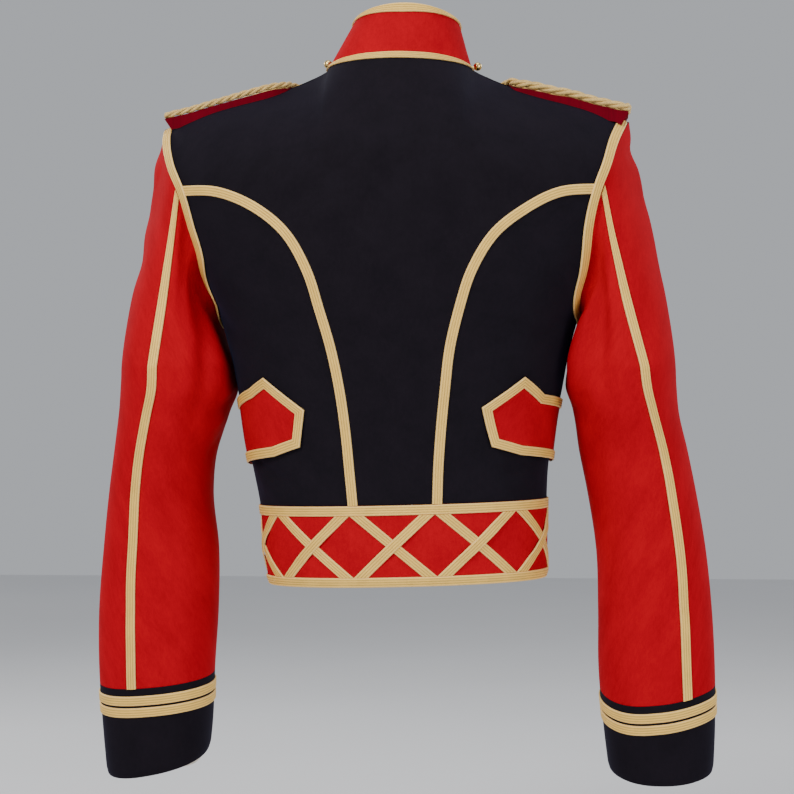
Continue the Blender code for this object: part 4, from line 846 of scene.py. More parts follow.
@dataclass
class Seams:
    """Where the body's seams run, as rows of (angle, height)."""

    trunk: Trunk
    waist: float = -0.432
    underarm: float = -0.25
    crossing: float = -0.127
    side_steps: int = 56
    low_back_steps: int = 36
    high_back_steps: int = 24
    front_steps: int = 60

    @property
    def seam_steps(self) -> int:
        """Steps from the waist up to the crossing."""
        return self.side_steps + self.low_back_steps

    @staticmethod
    def _armhole_reach(side: Side, heights: Points, front: bool = False) -> Points:
        """How far out the armhole lies at these heights."""
        place = 3 if front else (1 if side is Side.LEFT else 2)
        return Smooth([row[0] for row in ARMHOLE], [row[place] for row in ARMHOLE])(heights)

    def _armhole_row(self, side: Side, heights: Points, front: bool) -> Points:
        """The armhole's samples at these heights."""
        reach = self._armhole_reach(side, heights, front)
        body = self.trunk.half_width(heights)
        near = 1.0 - ease(heights, self.underarm, self.underarm + 0.032)
        reach = np.minimum(reach + (body - reach) * near**2, body)
        return np.stack([self.trunk.angle_at(reach, heights, front), heights], axis=1)

    def even(self, row: Points, side: Side, count: int) -> Points:
        """A row resampled so that its points are evenly spaced on the body."""
        along = run_lengths(self.trunk.plain(row[:, 0] * side.sign, row[:, 1]))
        targets = np.linspace(0.0, along[-1], count)
        return np.stack([np.interp(targets, along, row[:, 0]), np.interp(targets, along, row[:, 1])], axis=1)

    def side_seam(self, side: Side) -> Points:
        """From the waist up to the underarm."""
        heights = np.linspace(self.waist, self.underarm, 120)
        row = np.stack([np.full_like(heights, np.pi / 2), heights], axis=1)
        return self.even(row, side, self.side_steps + 1)

    def low_back(self, side: Side) -> Points:
        """The armhole from the underarm up the back to the crossing."""
        heights = self.underarm + (self.crossing - self.underarm) * np.linspace(0.0, 1.0, 240) ** 2
        return self.even(self._armhole_row(side, heights, False), side, self.low_back_steps + 1)

    def high_back(self, side: Side) -> Points:
        """The armhole from the crossing up to the shoulder."""
        heights = np.linspace(self.crossing, self.shoulder_end(side), 160)
        return self.even(self._armhole_row(side, heights, False), side, self.high_back_steps + 1)

    def front(self, side: Side) -> Points:
        """The armhole from the underarm up the front to the shoulder."""
        end = self.shoulder_end(side)
        heights = self.underarm + (end - self.underarm) * np.linspace(0.0, 1.0, 320) ** 2
        row = self._armhole_row(side, heights, True)
        meet = self._armhole_row(side, np.array([end]), False)[0]
        row[:, 0] += ease(heights, end - 0.05, end) * ((np.pi - meet[0]) - row[-1, 0])
        return self.even(row, side, self.front_steps + 1)

    def shoulder_end(self, side: Side) -> float:
        """The height at which the armhole reaches the shoulder seam."""
        heights = np.linspace(-0.09, -0.03, 1201)
        reach = self._armhole_reach(side, heights)
        return float(heights[np.argmin(np.abs(self.trunk.ridge(reach) - heights))])

    def princess(self, side: Side) -> Points:
        """The curved back seam, from the waist up to the crossing."""
        column = 0 if side is Side.LEFT else 2
        steps = run_lengths(np.array([row[column : column + 2] for row in PRINCESS]))
        fine = np.linspace(0.0, steps[-1], 500)
        across = Smooth(steps, [row[column] for row in PRINCESS])(fine)
        heights = Smooth(steps, [row[column + 1] for row in PRINCESS])(fine)
        row = np.stack([self.trunk.angle_at(across, heights), heights], axis=1)
        row = self.even(row, side, self.seam_steps + 1)
        row[-1] = self.low_back(side)[-1]
        return row

    def armhole(self, side: Side) -> Points:
        """The whole armhole, from the shoulder down the back and up the front."""
        back = np.concatenate([self.low_back(side), self.high_back(side)[1:]])[::-1]
        return np.concatenate([back, self.front(side)[1:-1]])

    def armhole_frame(self, side: Side) -> tuple[Points, Points, Points]:
        """Points, outward normals and directions away from the body, round the armhole."""
        ring = self.armhole(side)
        points = self.trunk.point(ring[:, 0] * side.sign, ring[:, 1])
        normals = self.trunk.normal(ring[:, 0] * side.sign, ring[:, 1])
        for _ in range(6):
            normals[[0, 1, 2, -1, -2]] = unit(
                normals[[-1, 0, 1, -2, -3]] + normals[[0, 1, 2, -1, -2]] + normals[[1, 2, 3, 0, -1]]
            )
        tangent = unit(np.roll(points, -1, axis=0) - np.roll(points, 1, axis=0))
        away = unit(np.cross(tangent, normals)) * side.sign
        return points, normals, away


# ------------------------------------------------------------------------------------ body pieces
@dataclass
class Body:
    """Back, side backs and fronts, with the braid on their seams."""

    shop: Workshop
    trunk: Trunk
    seams: Seams
    wall: float = 0.002
    braid_width: float = 0.0098
    braid_height: float = 0.0013
    armhole_swell: float = 0.3
    lap: float = 0.015
    lap_lift: float = 0.003
    lap_fade: tuple[float, float] = (0.018, 0.046)

    def _columns(self, reach: float, inner: int, outer: int) -> Points:
        """Shares across half a panel, with one column at the side-neck point."""
        neck = self.trunk.neck_half_width / reach
        curved = np.sin(np.linspace(0.0, np.pi / 2, inner + 1)) * neck
        return np.concatenate([curved, neck + (1.0 - neck) * np.linspace(0.0, 1.0, outer + 1)[1:]])

    def back(self) -> None:
        """The centre back, right edge to left edge, waist to shoulders."""
        halves = {}
        for side in Side:
            edge = np.concatenate([self.seams.princess(side), self.seams.high_back(side)[1:]])
            points = self.trunk.plain(edge[:, 0] * side.sign, edge[:, 1])
            along = run_lengths(points)
            along = along / along[-1]
            reach = np.abs(points[:, 0] - self.trunk.sway(edge[:, 1]))
            middle = self.seams.waist + (self.trunk.neck_back[1] - self.seams.waist) * along
            shares = self._columns(reach[-1], 24, 22)
            across = shares[None] * reach[:, None]
            height = middle[:, None] + (edge[:, 1] - middle)[:, None] * shares[None] ** 2
            settle = ease(along, along[self.seams.seam_steps] - 0.02, 1.0)[:, None] ** 2
            height = height + (self.trunk.top(across, False)[1] - height) * settle
            height[:, -1] = edge[:, 1]
            angle = self.trunk.angle_at(across, height)
            angle[:, -1] = edge[:, 0]
            halves[side] = (angle * side.sign, height)
        angle = np.concatenate([halves[Side.RIGHT][0][:, :0:-1], halves[Side.LEFT][0]], axis=1)
        left, right = halves[Side.LEFT][1], halves[Side.RIGHT][1]
        left[:, 0] = (left[:, 0] + right[:, 0]) / 2
        height = np.concatenate([right[:, :0:-1], left], axis=1)
        self.shop.cloth("back_panel", self.trunk.point(angle, height), "navy_wool", self.wall)

    def side_back(self, side: Side) -> None:
        """The panel between the curved seam and the side seam."""
        inner = self.seams.princess(side)
        outer = np.concatenate([self.seams.side_seam(side), self.seams.low_back(side)[1:]])
        shares = np.linspace(0.0, 1.0, 45)[None]
        angle = inner[:-1, :1] + (outer[:-1, :1] - inner[:-1, :1]) * shares
        height = inner[:-1, 1:] + (outer[:-1, 1:] - inner[:-1, 1:]) * shares
        grid = self.trunk.point(angle * side.sign, height)
        self.shop.cloth("side_back_" + side.label, grid, "navy_wool", self.wall)

    def front(self, side: Side) -> None:
        """One front, from its overlap to the side seam and the armhole."""
        trunk = self.trunk
        edge = np.concatenate([self.seams.side_seam(side), self.seams.front(side)[1:]])
        points = trunk.plain(edge[:, 0] * side.sign, edge[:, 1])
        along = run_lengths(points)
        along = along / along[-1]
        middle = self.seams.waist + (trunk.neck_front[1] - self.seams.waist) * along
        reach = float(np.abs(points[-1, 0]))
        top_across = self._columns(reach, 22, 26) * reach
        spread = np.abs(np.pi - edge[:, 0])
        laps = np.array([self.lap, self.lap * 0.66, self.lap * 0.33])
        lap_angle = -trunk.angle_at(laps[None], middle[:, None])
        wide = trunk.angle_at(top_across, np.full(len(top_across), trunk.neck_front[1]))
        shares = wide / wide[-1]
        angle = np.concatenate([lap_angle, spread[:, None] * shares[None]], axis=1)
        squared = np.concatenate([np.zeros(len(laps)), shares])[None] ** 2
        plain = middle[:, None] + (edge[:, 1] - middle)[:, None] * squared
        settle = ease(along, 0.45, 1.0)[:, None] ** 2
        height = plain
        for _ in range(14):
            power = 2.0 / trunk.roundness(height)
            across = trunk.half_width(height) * np.sign(angle) * np.abs(np.sin(angle)) ** power
            height = plain + (trunk.top(across, True)[1] - plain) * settle
            height[:, -1] = edge[:, 1]
        angle = (np.pi - angle) * side.sign
        lift = np.zeros(height.shape)
        if side is Side.LEFT:
            across = np.abs(trunk.plain(angle, height)[..., 0])
            lift = self.lap_lift * (1.0 - ease(across, *self.lap_fade))
            height = height - 0.0022 * (lift / self.lap_lift) * settle**4
        grid = trunk.point(angle, height, lift)
        self.shop.cloth("front_" + side.label, grid, "navy_wool", self.wall)

    def strip_on_body(
        self, edge: Points, aside: Points, side: Side, width: float | Points, offset: float | Points = 0.0
    ) -> tuple[Points, Points]:
        """Works out where a braid lies on the body.

        Args: edge, N x 2 (angle, height) along its middle or its edge; aside, unit directions across
            it; side; width, one number or one a row; offset, how far its middle lies from the edge
            row, along aside.
        Returns: points and normals of the body, a row for each place along the edge.
        """
        places = []
        for share in np.linspace(-0.5, 0.5, BRAID_COLUMNS):
            move = aside * (share * width + offset)
            places.append(np.stack(self.trunk.shifted(edge[:, 0] * side.sign, edge[:, 1], move), axis=1))
        angle, height = np.moveaxis(np.stack(places, axis=1), -1, 0)
        return self.trunk.point(angle, height), self.trunk.normal(angle, height)

    def princess_braid(self, side: Side) -> None:
        """Braid over the curved seam, from the waist to under the armhole's braid."""
        row = self.seams.even(self.seams.princess(side), side, 230)
        points = self.trunk.plain(row[:, 0] * side.sign, row[:, 1])
        normals = self.trunk.normal(row[:, 0] * side.sign, row[:, 1])
        aside = unit(np.cross(normals, unit(np.gradient(points, axis=0))))
        along = run_lengths(points)
        keep = along < along[-1] - self.braid_width * 0.75
        base, out = self.strip_on_body(row[keep], aside[keep], side, self.braid_width)
        lift = 0.0005 - 0.0004 * ease(along[keep], along[keep][-1] - 0.012, along[keep][-1])
        self.shop.flat_braid(f"princess_braid_{side.label}", base, out, lift, self.braid_height)

    def armhole_braid(self, side: Side) -> None:
        """Braid lying on the body along the armhole, over the ends of the others."""
        ring = self.seams.armhole(side)
        away = self.seams.armhole_frame(side)[2]
        low = self.seams.high_back_steps + self.seams.low_back_steps / 2
        swell = np.exp(-(((np.arange(len(ring)) - low) / (self.seams.low_back_steps * 0.36)) ** 2))
        width = (self.braid_width * (1.0 + self.armhole_swell * swell))[:, None]
        base, out = self.strip_on_body(ring, -away, side, width, width / 2 + 0.0003)
        # over the shoulder seam the braid bends softly and stands a little higher
        near = np.r_[-7:8]
        for _ in range(24):
            for values in (base, out):
                values[near] = (values[near - 1] + values[near] * 2 + values[near + 1]) / 4
        base[near, :, 2] += 0.0006 * (1.0 - np.abs(near) / 8.0)[:, None]
        name = f"armhole_braid_{side.label}"
        self.shop.flat_braid(name, base, unit(out), 0.0013, self.braid_height, loop=True)

    def build(self) -> None:
        """Makes the body's pieces."""
        self.back()
        for side in Side:
            self.side_back(side)
            self.front(side)
            self.princess_braid(side)
            self.armhole_braid(side)


# ------------------------------------------------------------------------------------ sleeves
@dataclass(frozen=True)
class SlantEdge:
    """A slanting edge round a sleeve.

    height: at the sleeve's middle. outward, backward: its slopes. dip, dip_angle: how far a soft
    point hangs below it, and at what angle round the sleeve.
    """

    height: float
    outward: float
    backward: float
    dip: float
    dip_angle: float


@dataclass(frozen=True)
class SleeveForm:
    """The shape of one sleeve.

    sections: height, outer reach, inner reach, middle (+ to the back), half depth.
    hindarm: heights, and the degrees round the sleeve of its back seam there. bow: how far that
    seam bows towards the body in the cap.
    """

    sections: tuple[tuple[float, float, float, float, float], ...]
    hindarm: tuple[tuple[float, float], ...]
    cuff_top: SlantEdge
    cuff_bottom: SlantEdge
    bow: float
    relief: Relief


LEFT_SLEEVE = SleeveForm(
    sections=(
        (-0.3, 0.2782, 0.1674, 0.003, 0.08), (-0.322, 0.28, 0.1646, 0.001, 0.078),
        (-0.342, 0.282, 0.1728, -0.003, 0.075), (-0.362, 0.285, 0.18, -0.006, 0.072),
        (-0.382, 0.2884, 0.1868, -0.01, 0.069), (-0.422, 0.295, 0.1918, -0.016, 0.064),
        (-0.482, 0.3025, 0.1869, -0.022, 0.06), (-0.542, 0.3085, 0.188, -0.028, 0.057),
        (-0.602, 0.31, 0.1925, -0.034, 0.054), (-0.66, 0.3077, 0.1957, -0.04, 0.051),
        (-0.725, 0.3032, 0.204, -0.046, 0.048),
    ),
    hindarm=(
        (-0.3, 79.0), (-0.322, 77.4), (-0.345, 76.2), (-0.385, 75.6), (-0.44, 74.8), (-0.5, 73.2),
        (-0.545, 74.2),
        (-0.59, 75.5), (-0.64, 75.5),
    ),
    cuff_top=SlantEdge(-0.6136, -0.077, -0.11, 0.0015, 60.0),
    cuff_bottom=SlantEdge(-0.699, -0.19, -0.25, 0.0, 60.0),
    bow=0.0012,
    relief=Relief((
        # degrees round the sleeve (0 outer side, 90 back, 180 inner side, 270 front) and height
        Crease(((140, -0.262), (131, -0.292), (124, -0.325), (122, -0.366)), -0.0042, 0.0105, 0.2),
        Crease(((146, -0.236), (150, -0.27), (151, -0.302), (148, -0.33)), 0.0062, 0.012, 0.3),
        Crease(((108, -0.275), (104, -0.31), (102, -0.345)), 0.0016, 0.011),
        Crease(((176, -0.33), (158, -0.34), (140, -0.348)), -0.0026, 0.0065, 0.9),
        Crease(((178, -0.372), (166, -0.384), (158, -0.402)), -0.0022, 0.006, 0.7),
        Crease(((180, -0.352), (164, -0.35), (140, -0.362)), 0.0022, 0.0075, 0.5),
        Crease(((168, -0.372), (150, -0.384), (128, -0.388)), -0.0016, 0.009, 0.5),
        Crease(((-20, -0.094), (6, -0.098), (34, -0.106)), 0.0034, 0.015),
        Crease(((-8, -0.142), (20, -0.15), (48, -0.148)), -0.0012, 0.012),
        Crease(((-24, -0.19), (6, -0.196), (40, -0.188)), -0.0036, 0.02),
        Crease(((20, -0.3), (46, -0.33), (60, -0.372)), -0.0012, 0.017),
        Crease(((96, -0.42), (110, -0.452), (104, -0.5)), -0.0014, 0.015),
        Crease(((40, -0.52), (66, -0.54), (92, -0.535)), -0.0009, 0.014),
        Crease(((132, -0.56), (108, -0.582), (84, -0.586)), -0.001, 0.012),
        Crease(((232, -0.3), (250, -0.33), (284, -0.342)), -0.0034, 0.01, 0.7),
        Crease(((226, -0.338), (252, -0.358), (300, -0.356)), -0.0028, 0.009, 0.7),
        Crease(((230, -0.32), (262, -0.344), (296, -0.35)), 0.0018, 0.008, 0.4),
        Crease(((222, -0.372), (256, -0.39), (286, -0.386)), -0.002, 0.011, 0.5),
        Crease(((300, -0.22), (286, -0.262), (280, -0.3)), -0.002, 0.016),
        Crease(((310, -0.44), (286, -0.47), (262, -0.476)), -0.0013, 0.015),
        Crease(((240, -0.54), (270, -0.56), (304, -0.552)), -0.0011, 0.014),
    )),
)
RIGHT_SLEEVE = SleeveForm(
    sections=(
        (-0.3, 0.274, 0.1668, 0.003, 0.08), (-0.32, 0.2752, 0.1652, 0.001, 0.078),
        (-0.342, 0.2771, 0.1722, -0.003, 0.074),
        (-0.382, 0.2863, 0.1785, -0.012, 0.066), (-0.422, 0.2946, 0.1865, -0.016, 0.063),
        (-0.482, 0.3049, 0.1956, -0.022, 0.06), (-0.542, 0.3112, 0.1975, -0.028, 0.057),
        (-0.602, 0.3145, 0.198, -0.034, 0.054), (-0.66, 0.315, 0.203, -0.04, 0.051),
        (-0.725, 0.3125, 0.211, -0.046, 0.048),
    ),
    hindarm=(
        (-0.3, 69.6), (-0.32, 66.9), (-0.34, 64.3), (-0.37, 61.8), (-0.4, 61.4), (-0.44, 62.6), (-0.5, 63.6),
        (-0.59, 64.2), (-0.64, 63.6),
    ),
    cuff_top=SlantEdge(-0.617, 0.02, -0.15, 0.01, 115.0),
    cuff_bottom=SlantEdge(-0.702, -0.02, -0.16, 0.006, 100.0),
    bow=0.0036,
    relief=Relief((
        Crease(((104, -0.222), (106, -0.262), (108, -0.3), (102, -0.345)), -0.004, 0.012, 0.3),
        Crease(((82, -0.24), (84, -0.282), (86, -0.32)), 0.0016, 0.01),
        Crease(((134, -0.232), (142, -0.262), (146, -0.29), (146, -0.326)), 0.009, 0.0135, 0.4),
        Crease(((176, -0.332), (158, -0.344), (136, -0.346)), -0.0018, 0.0085, 0.6),
        Crease(((160, -0.372), (140, -0.392), (118, -0.396)), -0.0014, 0.011, 0.4),
        Crease(((-18, -0.08), (8, -0.084), (34, -0.092)), -0.0044, 0.012),
        Crease(((-12, -0.124), (12, -0.134), (38, -0.14)), -0.0012, 0.012),
        Crease(((-10, -0.19), (16, -0.2), (44, -0.21)), -0.0012, 0.014),
        Crease(((10, -0.3), (34, -0.34), (50, -0.384)), -0.0012, 0.017),
        Crease(((86, -0.41), (98, -0.45), (94, -0.494)), -0.0013, 0.016),
        Crease(((36, -0.51), (58, -0.532), (84, -0.53)), -0.0009, 0.014),
        Crease(((128, -0.556), (104, -0.576), (82, -0.574)), -0.001, 0.013),
        Crease(((230, -0.29), (254, -0.318), (288, -0.33)), -0.0032, 0.01, 0.7),
        Crease(((228, -0.328), (250, -0.35), (296, -0.352)), -0.0026, 0.009, 0.7),
        Crease(((232, -0.31), (260, -0.334), (292, -0.342)), 0.0017, 0.008, 0.4),
        Crease(((224, -0.366), (258, -0.382), (290, -0.38)), -0.0018, 0.011, 0.5),
        Crease(((304, -0.21), (290, -0.256), (282, -0.292)), -0.002, 0.016),
        Crease(((312, -0.43), (288, -0.466), (264, -0.474)), -0.0013, 0.015),
        Crease(((242, -0.536), (272, -0.552), (300, -0.548)), -0.0011, 0.014),
    )),
)
CAP_TURNS = (
    # degrees round the armhole, degrees round the sleeve, turn away from the body, reach
    (0.0, 0.0, -56.0, 0.8), (40.0, 45.0, -36.0, 0.5), (64.0, 68.0, -16.0, 0.14),
    (110.0, 110.0, 34.0, 0.5), (145.0, 143.0, 88.0, 0.7), (180.0, 180.0, 92.0, 0.7),
    (215.0, 219.0, 58.0, 0.6), (250.0, 258.0, 20.0, 0.7), (280.0, 290.0, -8.0, 0.8),
    (315.0, 320.0, -30.0, 0.8), (360.0, 360.0, -56.0, 0.8),
)


@dataclass
class Sleeve:
    """One sleeve with its cuff: level ovals, and the cap that joins them to the armhole."""

    shop: Workshop
    seams: Seams
    side: Side
    form: SleeveForm
    roundness: float = 2.3
    tube_start: float = -0.3
    cap_rows: int = 46
    tube_rows: int = 96
    underarm_ease: float = 0.0008
    hindarm_spread: float = 65.0
    edge_height: float = -0.63
    wall: float = 0.002
    braid_width: float = 0.0098
    braid_height: float = 0.0013
    cuff_drop: float = 0.0075
    cuff_step: float = 0.012
    lining_height: float = 0.035
    girth_scale: float = 0.06
    arm_line: tuple[float, float] = (0.235, -0.01)
    wrist_line: tuple[float, float] = (0.25, -0.045)

    def __post_init__(self) -> None:
        """Works out the sleeve's outer grid."""
        self.sign = self.side.sign
        heights = [row[0] for row in self.form.sections]
        for place, name in enumerate(("outer", "inner", "middle", "half_depth"), 1):
            setattr(self, name, Smooth(heights, [row[place] for row in self.form.sections]))
        turns = [row[0] for row in CAP_TURNS]
        self.cap_angle = Smooth(turns, [row[1] for row in CAP_TURNS])
        self.cap_turn = Smooth(turns, [row[2] for row in CAP_TURNS])
        self.cap_reach = Smooth(turns, [row[3] for row in CAP_TURNS])
        self.ring, self.ring_normals, self.away = self.seams.armhole_frame(self.side)
        self.hindarm = self.seams.high_back_steps
        self.underarm = self.hindarm + self.seams.low_back_steps
        self.forearm = self.underarm + 22
        steps = np.linalg.norm(np.roll(self.ring, -1, axis=0) - self.ring, axis=1)
        along = np.concatenate([[0.0], np.cumsum(steps)])
        degrees = np.interp(along, [0.0, along[self.underarm], along[-1]], [0.0, 180.0, 360.0])
        self.degrees = degrees[:-1]
        self.seam_angle = Smooth(*zip(*self.form.hindarm))
        self.near = 1.0 - ease(np.abs(self.degrees - self.degrees[self.hindarm]), 0.0, self.hindarm_spread)
        self.angles = self.angles_at(self.edge_height)
        self.grid = self._creased(self._plain_grid())

    def angles_at(self, height: Points | float) -> Points:
        """Returns: the angle of each of the sleeve's upright lines at this height, in radians."""
        plain = self.cap_angle(self.degrees)
        seam = self.seam_angle(np.clip(height, self.edge_height, self.tube_start))
        return np.radians(plain + (seam - plain[self.hindarm]) * self.near)

    def point(self, angle: Points, height: Points) -> Points:
        """Returns: points on the level ovals; angle 0 is the outer side, a quarter turn on the back."""
        angle, height = paired(angle, height)
        power = 2.0 / self.roundness
        cosine, sine = np.cos(angle), np.sin(angle)
        centre = (self.outer(height) + self.inner(height)) / 2
        half = (self.outer(height) - self.inner(height)) / 2
        across = centre + half * np.sign(cosine) * np.abs(cosine) ** power
        back = self.middle(height) + self.half_depth(height) * np.sign(sine) * np.abs(sine) ** power
        return np.stack([across * self.sign, back, height], axis=-1)

    def normal(self, angle: Points, height: Points) -> Points:
        """Returns: outward unit normals of the level ovals."""
        angle, height = paired(angle, height)
        along = self.point(angle + 1e-2, height) - self.point(angle - 1e-2, height)
        down = self.point(angle, height - 1e-3) - self.point(angle, height + 1e-3)
        return unit(np.cross(down, along)) * self.sign

    def lifted(self, angle: Points, height: Points, lift: Points | float) -> Points:
        """Returns: points moved out of the level ovals."""
        lift = np.broadcast_to(np.asarray(lift, float), np.broadcast(angle, height).shape)
        return self.point(angle, height) + self.normal(angle, height) * lift[..., None]

    def edge(self, edge: SlantEdge, angle: Points) -> Points:
        """Returns: heights of a slanting edge at these angles."""
        centre = (self.outer(edge.height) + self.inner(edge.height)) / 2
        place = self.point(angle, edge.height)
        outward = place[..., 0] * self.sign - centre
        backward = place[..., 1] - self.middle(edge.height)
        near = 0.5 + 0.5 * np.cos(angle - math.radians(edge.dip_angle))
        return edge.height + edge.outward * outward + edge.backward * backward - edge.dip * near**4

    def _plain_grid(self) -> Points:
        """Outer points of the sleeve, armhole to cuff, without creases."""
        turn = np.radians(self.cap_turn(self.degrees))[:, None]
        reach = self.cap_reach(self.degrees)[:, None]
        start = self.ring + self.away * (0.0003 + self.underarm_ease * np.maximum(np.sin(turn), 0.0))
        leave = np.cos(turn) * self.away + np.sin(turn) * self.ring_normals
        turns = self.angles_at(self.tube_start)
        end = self.point(turns, self.tube_start)
        arrive = unit(self.point(self.angles_at(self.tube_start - 0.01), self.tube_start - 0.01) - end)
        span = np.linalg.norm(end - start, axis=1)[:, None] * reach
        rows = []
        for t in np.linspace(0.0, 1.0, self.cap_rows + 1) ** 1.15:
            rows.append(
                (2 * t**3 - 3 * t**2 + 1) * start + (t**3 - 2 * t**2 + t) * span * leave
                + (3 * t**2 - 2 * t**3) * end + (t**3 - t**2) * span * arrive
            )
            bow = self.form.bow * float(ease(t, 0.0, 0.4) - ease(t, 0.5, 1.0))
            rows[-1][:, 0] -= self.sign * bow * self.near**2
        cuff = self.edge(self.form.cuff_top, self.angles)
        for share in np.linspace(0.0, 1.0, self.tube_rows + 1)[1:]:
            height = self.tube_start + (cuff - self.tube_start) * share
            rows.append(self.point(self.angles_at(height), height))
        return np.stack(rows)

    def _creased(self, grid: Points) -> Points:
        """The grid with its creases, which die away at the armhole and the cuff."""
        normals = grid_normals(grid, closed=True) * self.sign
        around = np.broadcast_to(self.angles, grid.shape[:2]) * self.girth_scale
        form = np.zeros(grid.shape[:2])
        whole = 2 * math.pi * self.girth_scale
        scaled = Relief(tuple(
            Crease(
                tuple((math.radians(a) * self.girth_scale, h) for a, h in crease.path),
                crease.depth, crease.width, crease.sharp_start,
            )
            for crease in self.form.relief.creases
        ))
        for turn in (-whole, 0.0, whole):
            form = form + scaled.at(around + turn, grid[..., 2])
        from_top = run_lengths(grid)
        form = form * ease(from_top, 0.006, 0.03) * ease(from_top[-1] - from_top, 0.001, 0.022)
        return grid + normals * form[..., None]

    def panels(self) -> None:
        """The upper and the under sleeve, split at the hindarm and forearm seams."""
        count = self.grid.shape[1]
        spans = {
            "sleeve_under_": np.arange(self.hindarm, self.forearm + 1),
            "sleeve_upper_": np.arange(self.forearm, count + self.hindarm + 1) % count,
        }
        inside = (self.arm_line[0] * self.sign, self.arm_line[1])
        for name, columns in spans.items():
            grid = self.grid[:, columns]
            self.shop.cloth(name + self.side.label, grid, "red_wool", self.wall, inside=inside)

    def hindarm_braid(self) -> None:
        """Braid down the back seam, from under the armhole's braid to the cuff."""
        reach = np.linspace(-0.5, 0.5, BRAID_COLUMNS) * self.braid_width
        normals = grid_normals(self.grid, closed=True) * self.sign
        beside = 6
        columns = np.arange(self.hindarm - beside, self.hindarm + beside + 1)
        both = np.concatenate([self.grid[:, columns], normals[:, columns]], axis=-1)
        rows = []
        for row in both:
            along = run_lengths(row[:, :3])
            along = along - along[beside]
            rows.append(np.stack([np.interp(reach, along, values) for values in row.T], axis=1))
        base, out = np.split(np.stack(rows), 2, axis=-1)
        along = run_lengths(base[:, BRAID_COLUMNS // 2])
        keep = along > 0.0015
        lift = 0.0005 - 0.0003 * (1.0 - ease(along[keep], 0.0, 0.01))
        name = "sleeve_braid_" + self.side.label
        self.shop.flat_braid(name, base[keep], unit(out)[keep], lift, self.braid_height)

    def cuff(self) -> None:
        """The cuff, its pale lining and its two braids."""
        label, angles = self.side.label, self.angles
        inside = (self.wrist_line[0] * self.sign, self.wrist_line[1])
        top = self.edge(self.form.cuff_top, angles)
        bottom = self.edge(self.form.cuff_bottom, angles)
        shares = np.linspace(0.0, 1.0, 34)[:, None]
        heights = top + (bottom - top) * shares
        turned = 0.001 * ease(shares, 0.9, 1.0) ** 2
        grid = self.lifted(angles, heights, -turned * np.ones_like(heights))
        self.shop.cloth("cuff_" + label, grid, "navy_wool", self.wall, closed=True, inside=inside)

        degrees = np.degrees(angles) % 360.0
        hang = 0.0046 * np.exp(-(((degrees - 150.0) / 24.0) ** 2)) if self.side is Side.LEFT else 0.0
        low = bottom + 0.001 - hang
        lining_top = bottom + self.lining_height
        heights = lining_top + (low - lining_top) * np.linspace(0.0, 1.0, 12)[:, None]
        grid = self.lifted(angles, heights, -self.wall - 0.0012)
        self.shop.cloth(
            "cuff_lining_" + label, grid, "pale_lining", 0.001, closed=True, inside=inside, round_edge=0.0003
        )

        for place, name in enumerate(("upper", "lower")):
            upper = top - self.cuff_drop - place * self.cuff_step
            heights = upper[:, None] - self.braid_width * np.linspace(0.0, 1.0, BRAID_COLUMNS)[None]
            base, out = self.point(angles[:, None], heights), self.normal(angles[:, None], heights)
            name = f"cuff_braid_{name}_{label}"
            self.shop.flat_braid(name, base, out, 0.0004, self.braid_height, loop=True)

    def build(self) -> None:
        """Makes the sleeve's pieces."""
        self.panels()
        self.hindarm_braid()
        self.cuff()


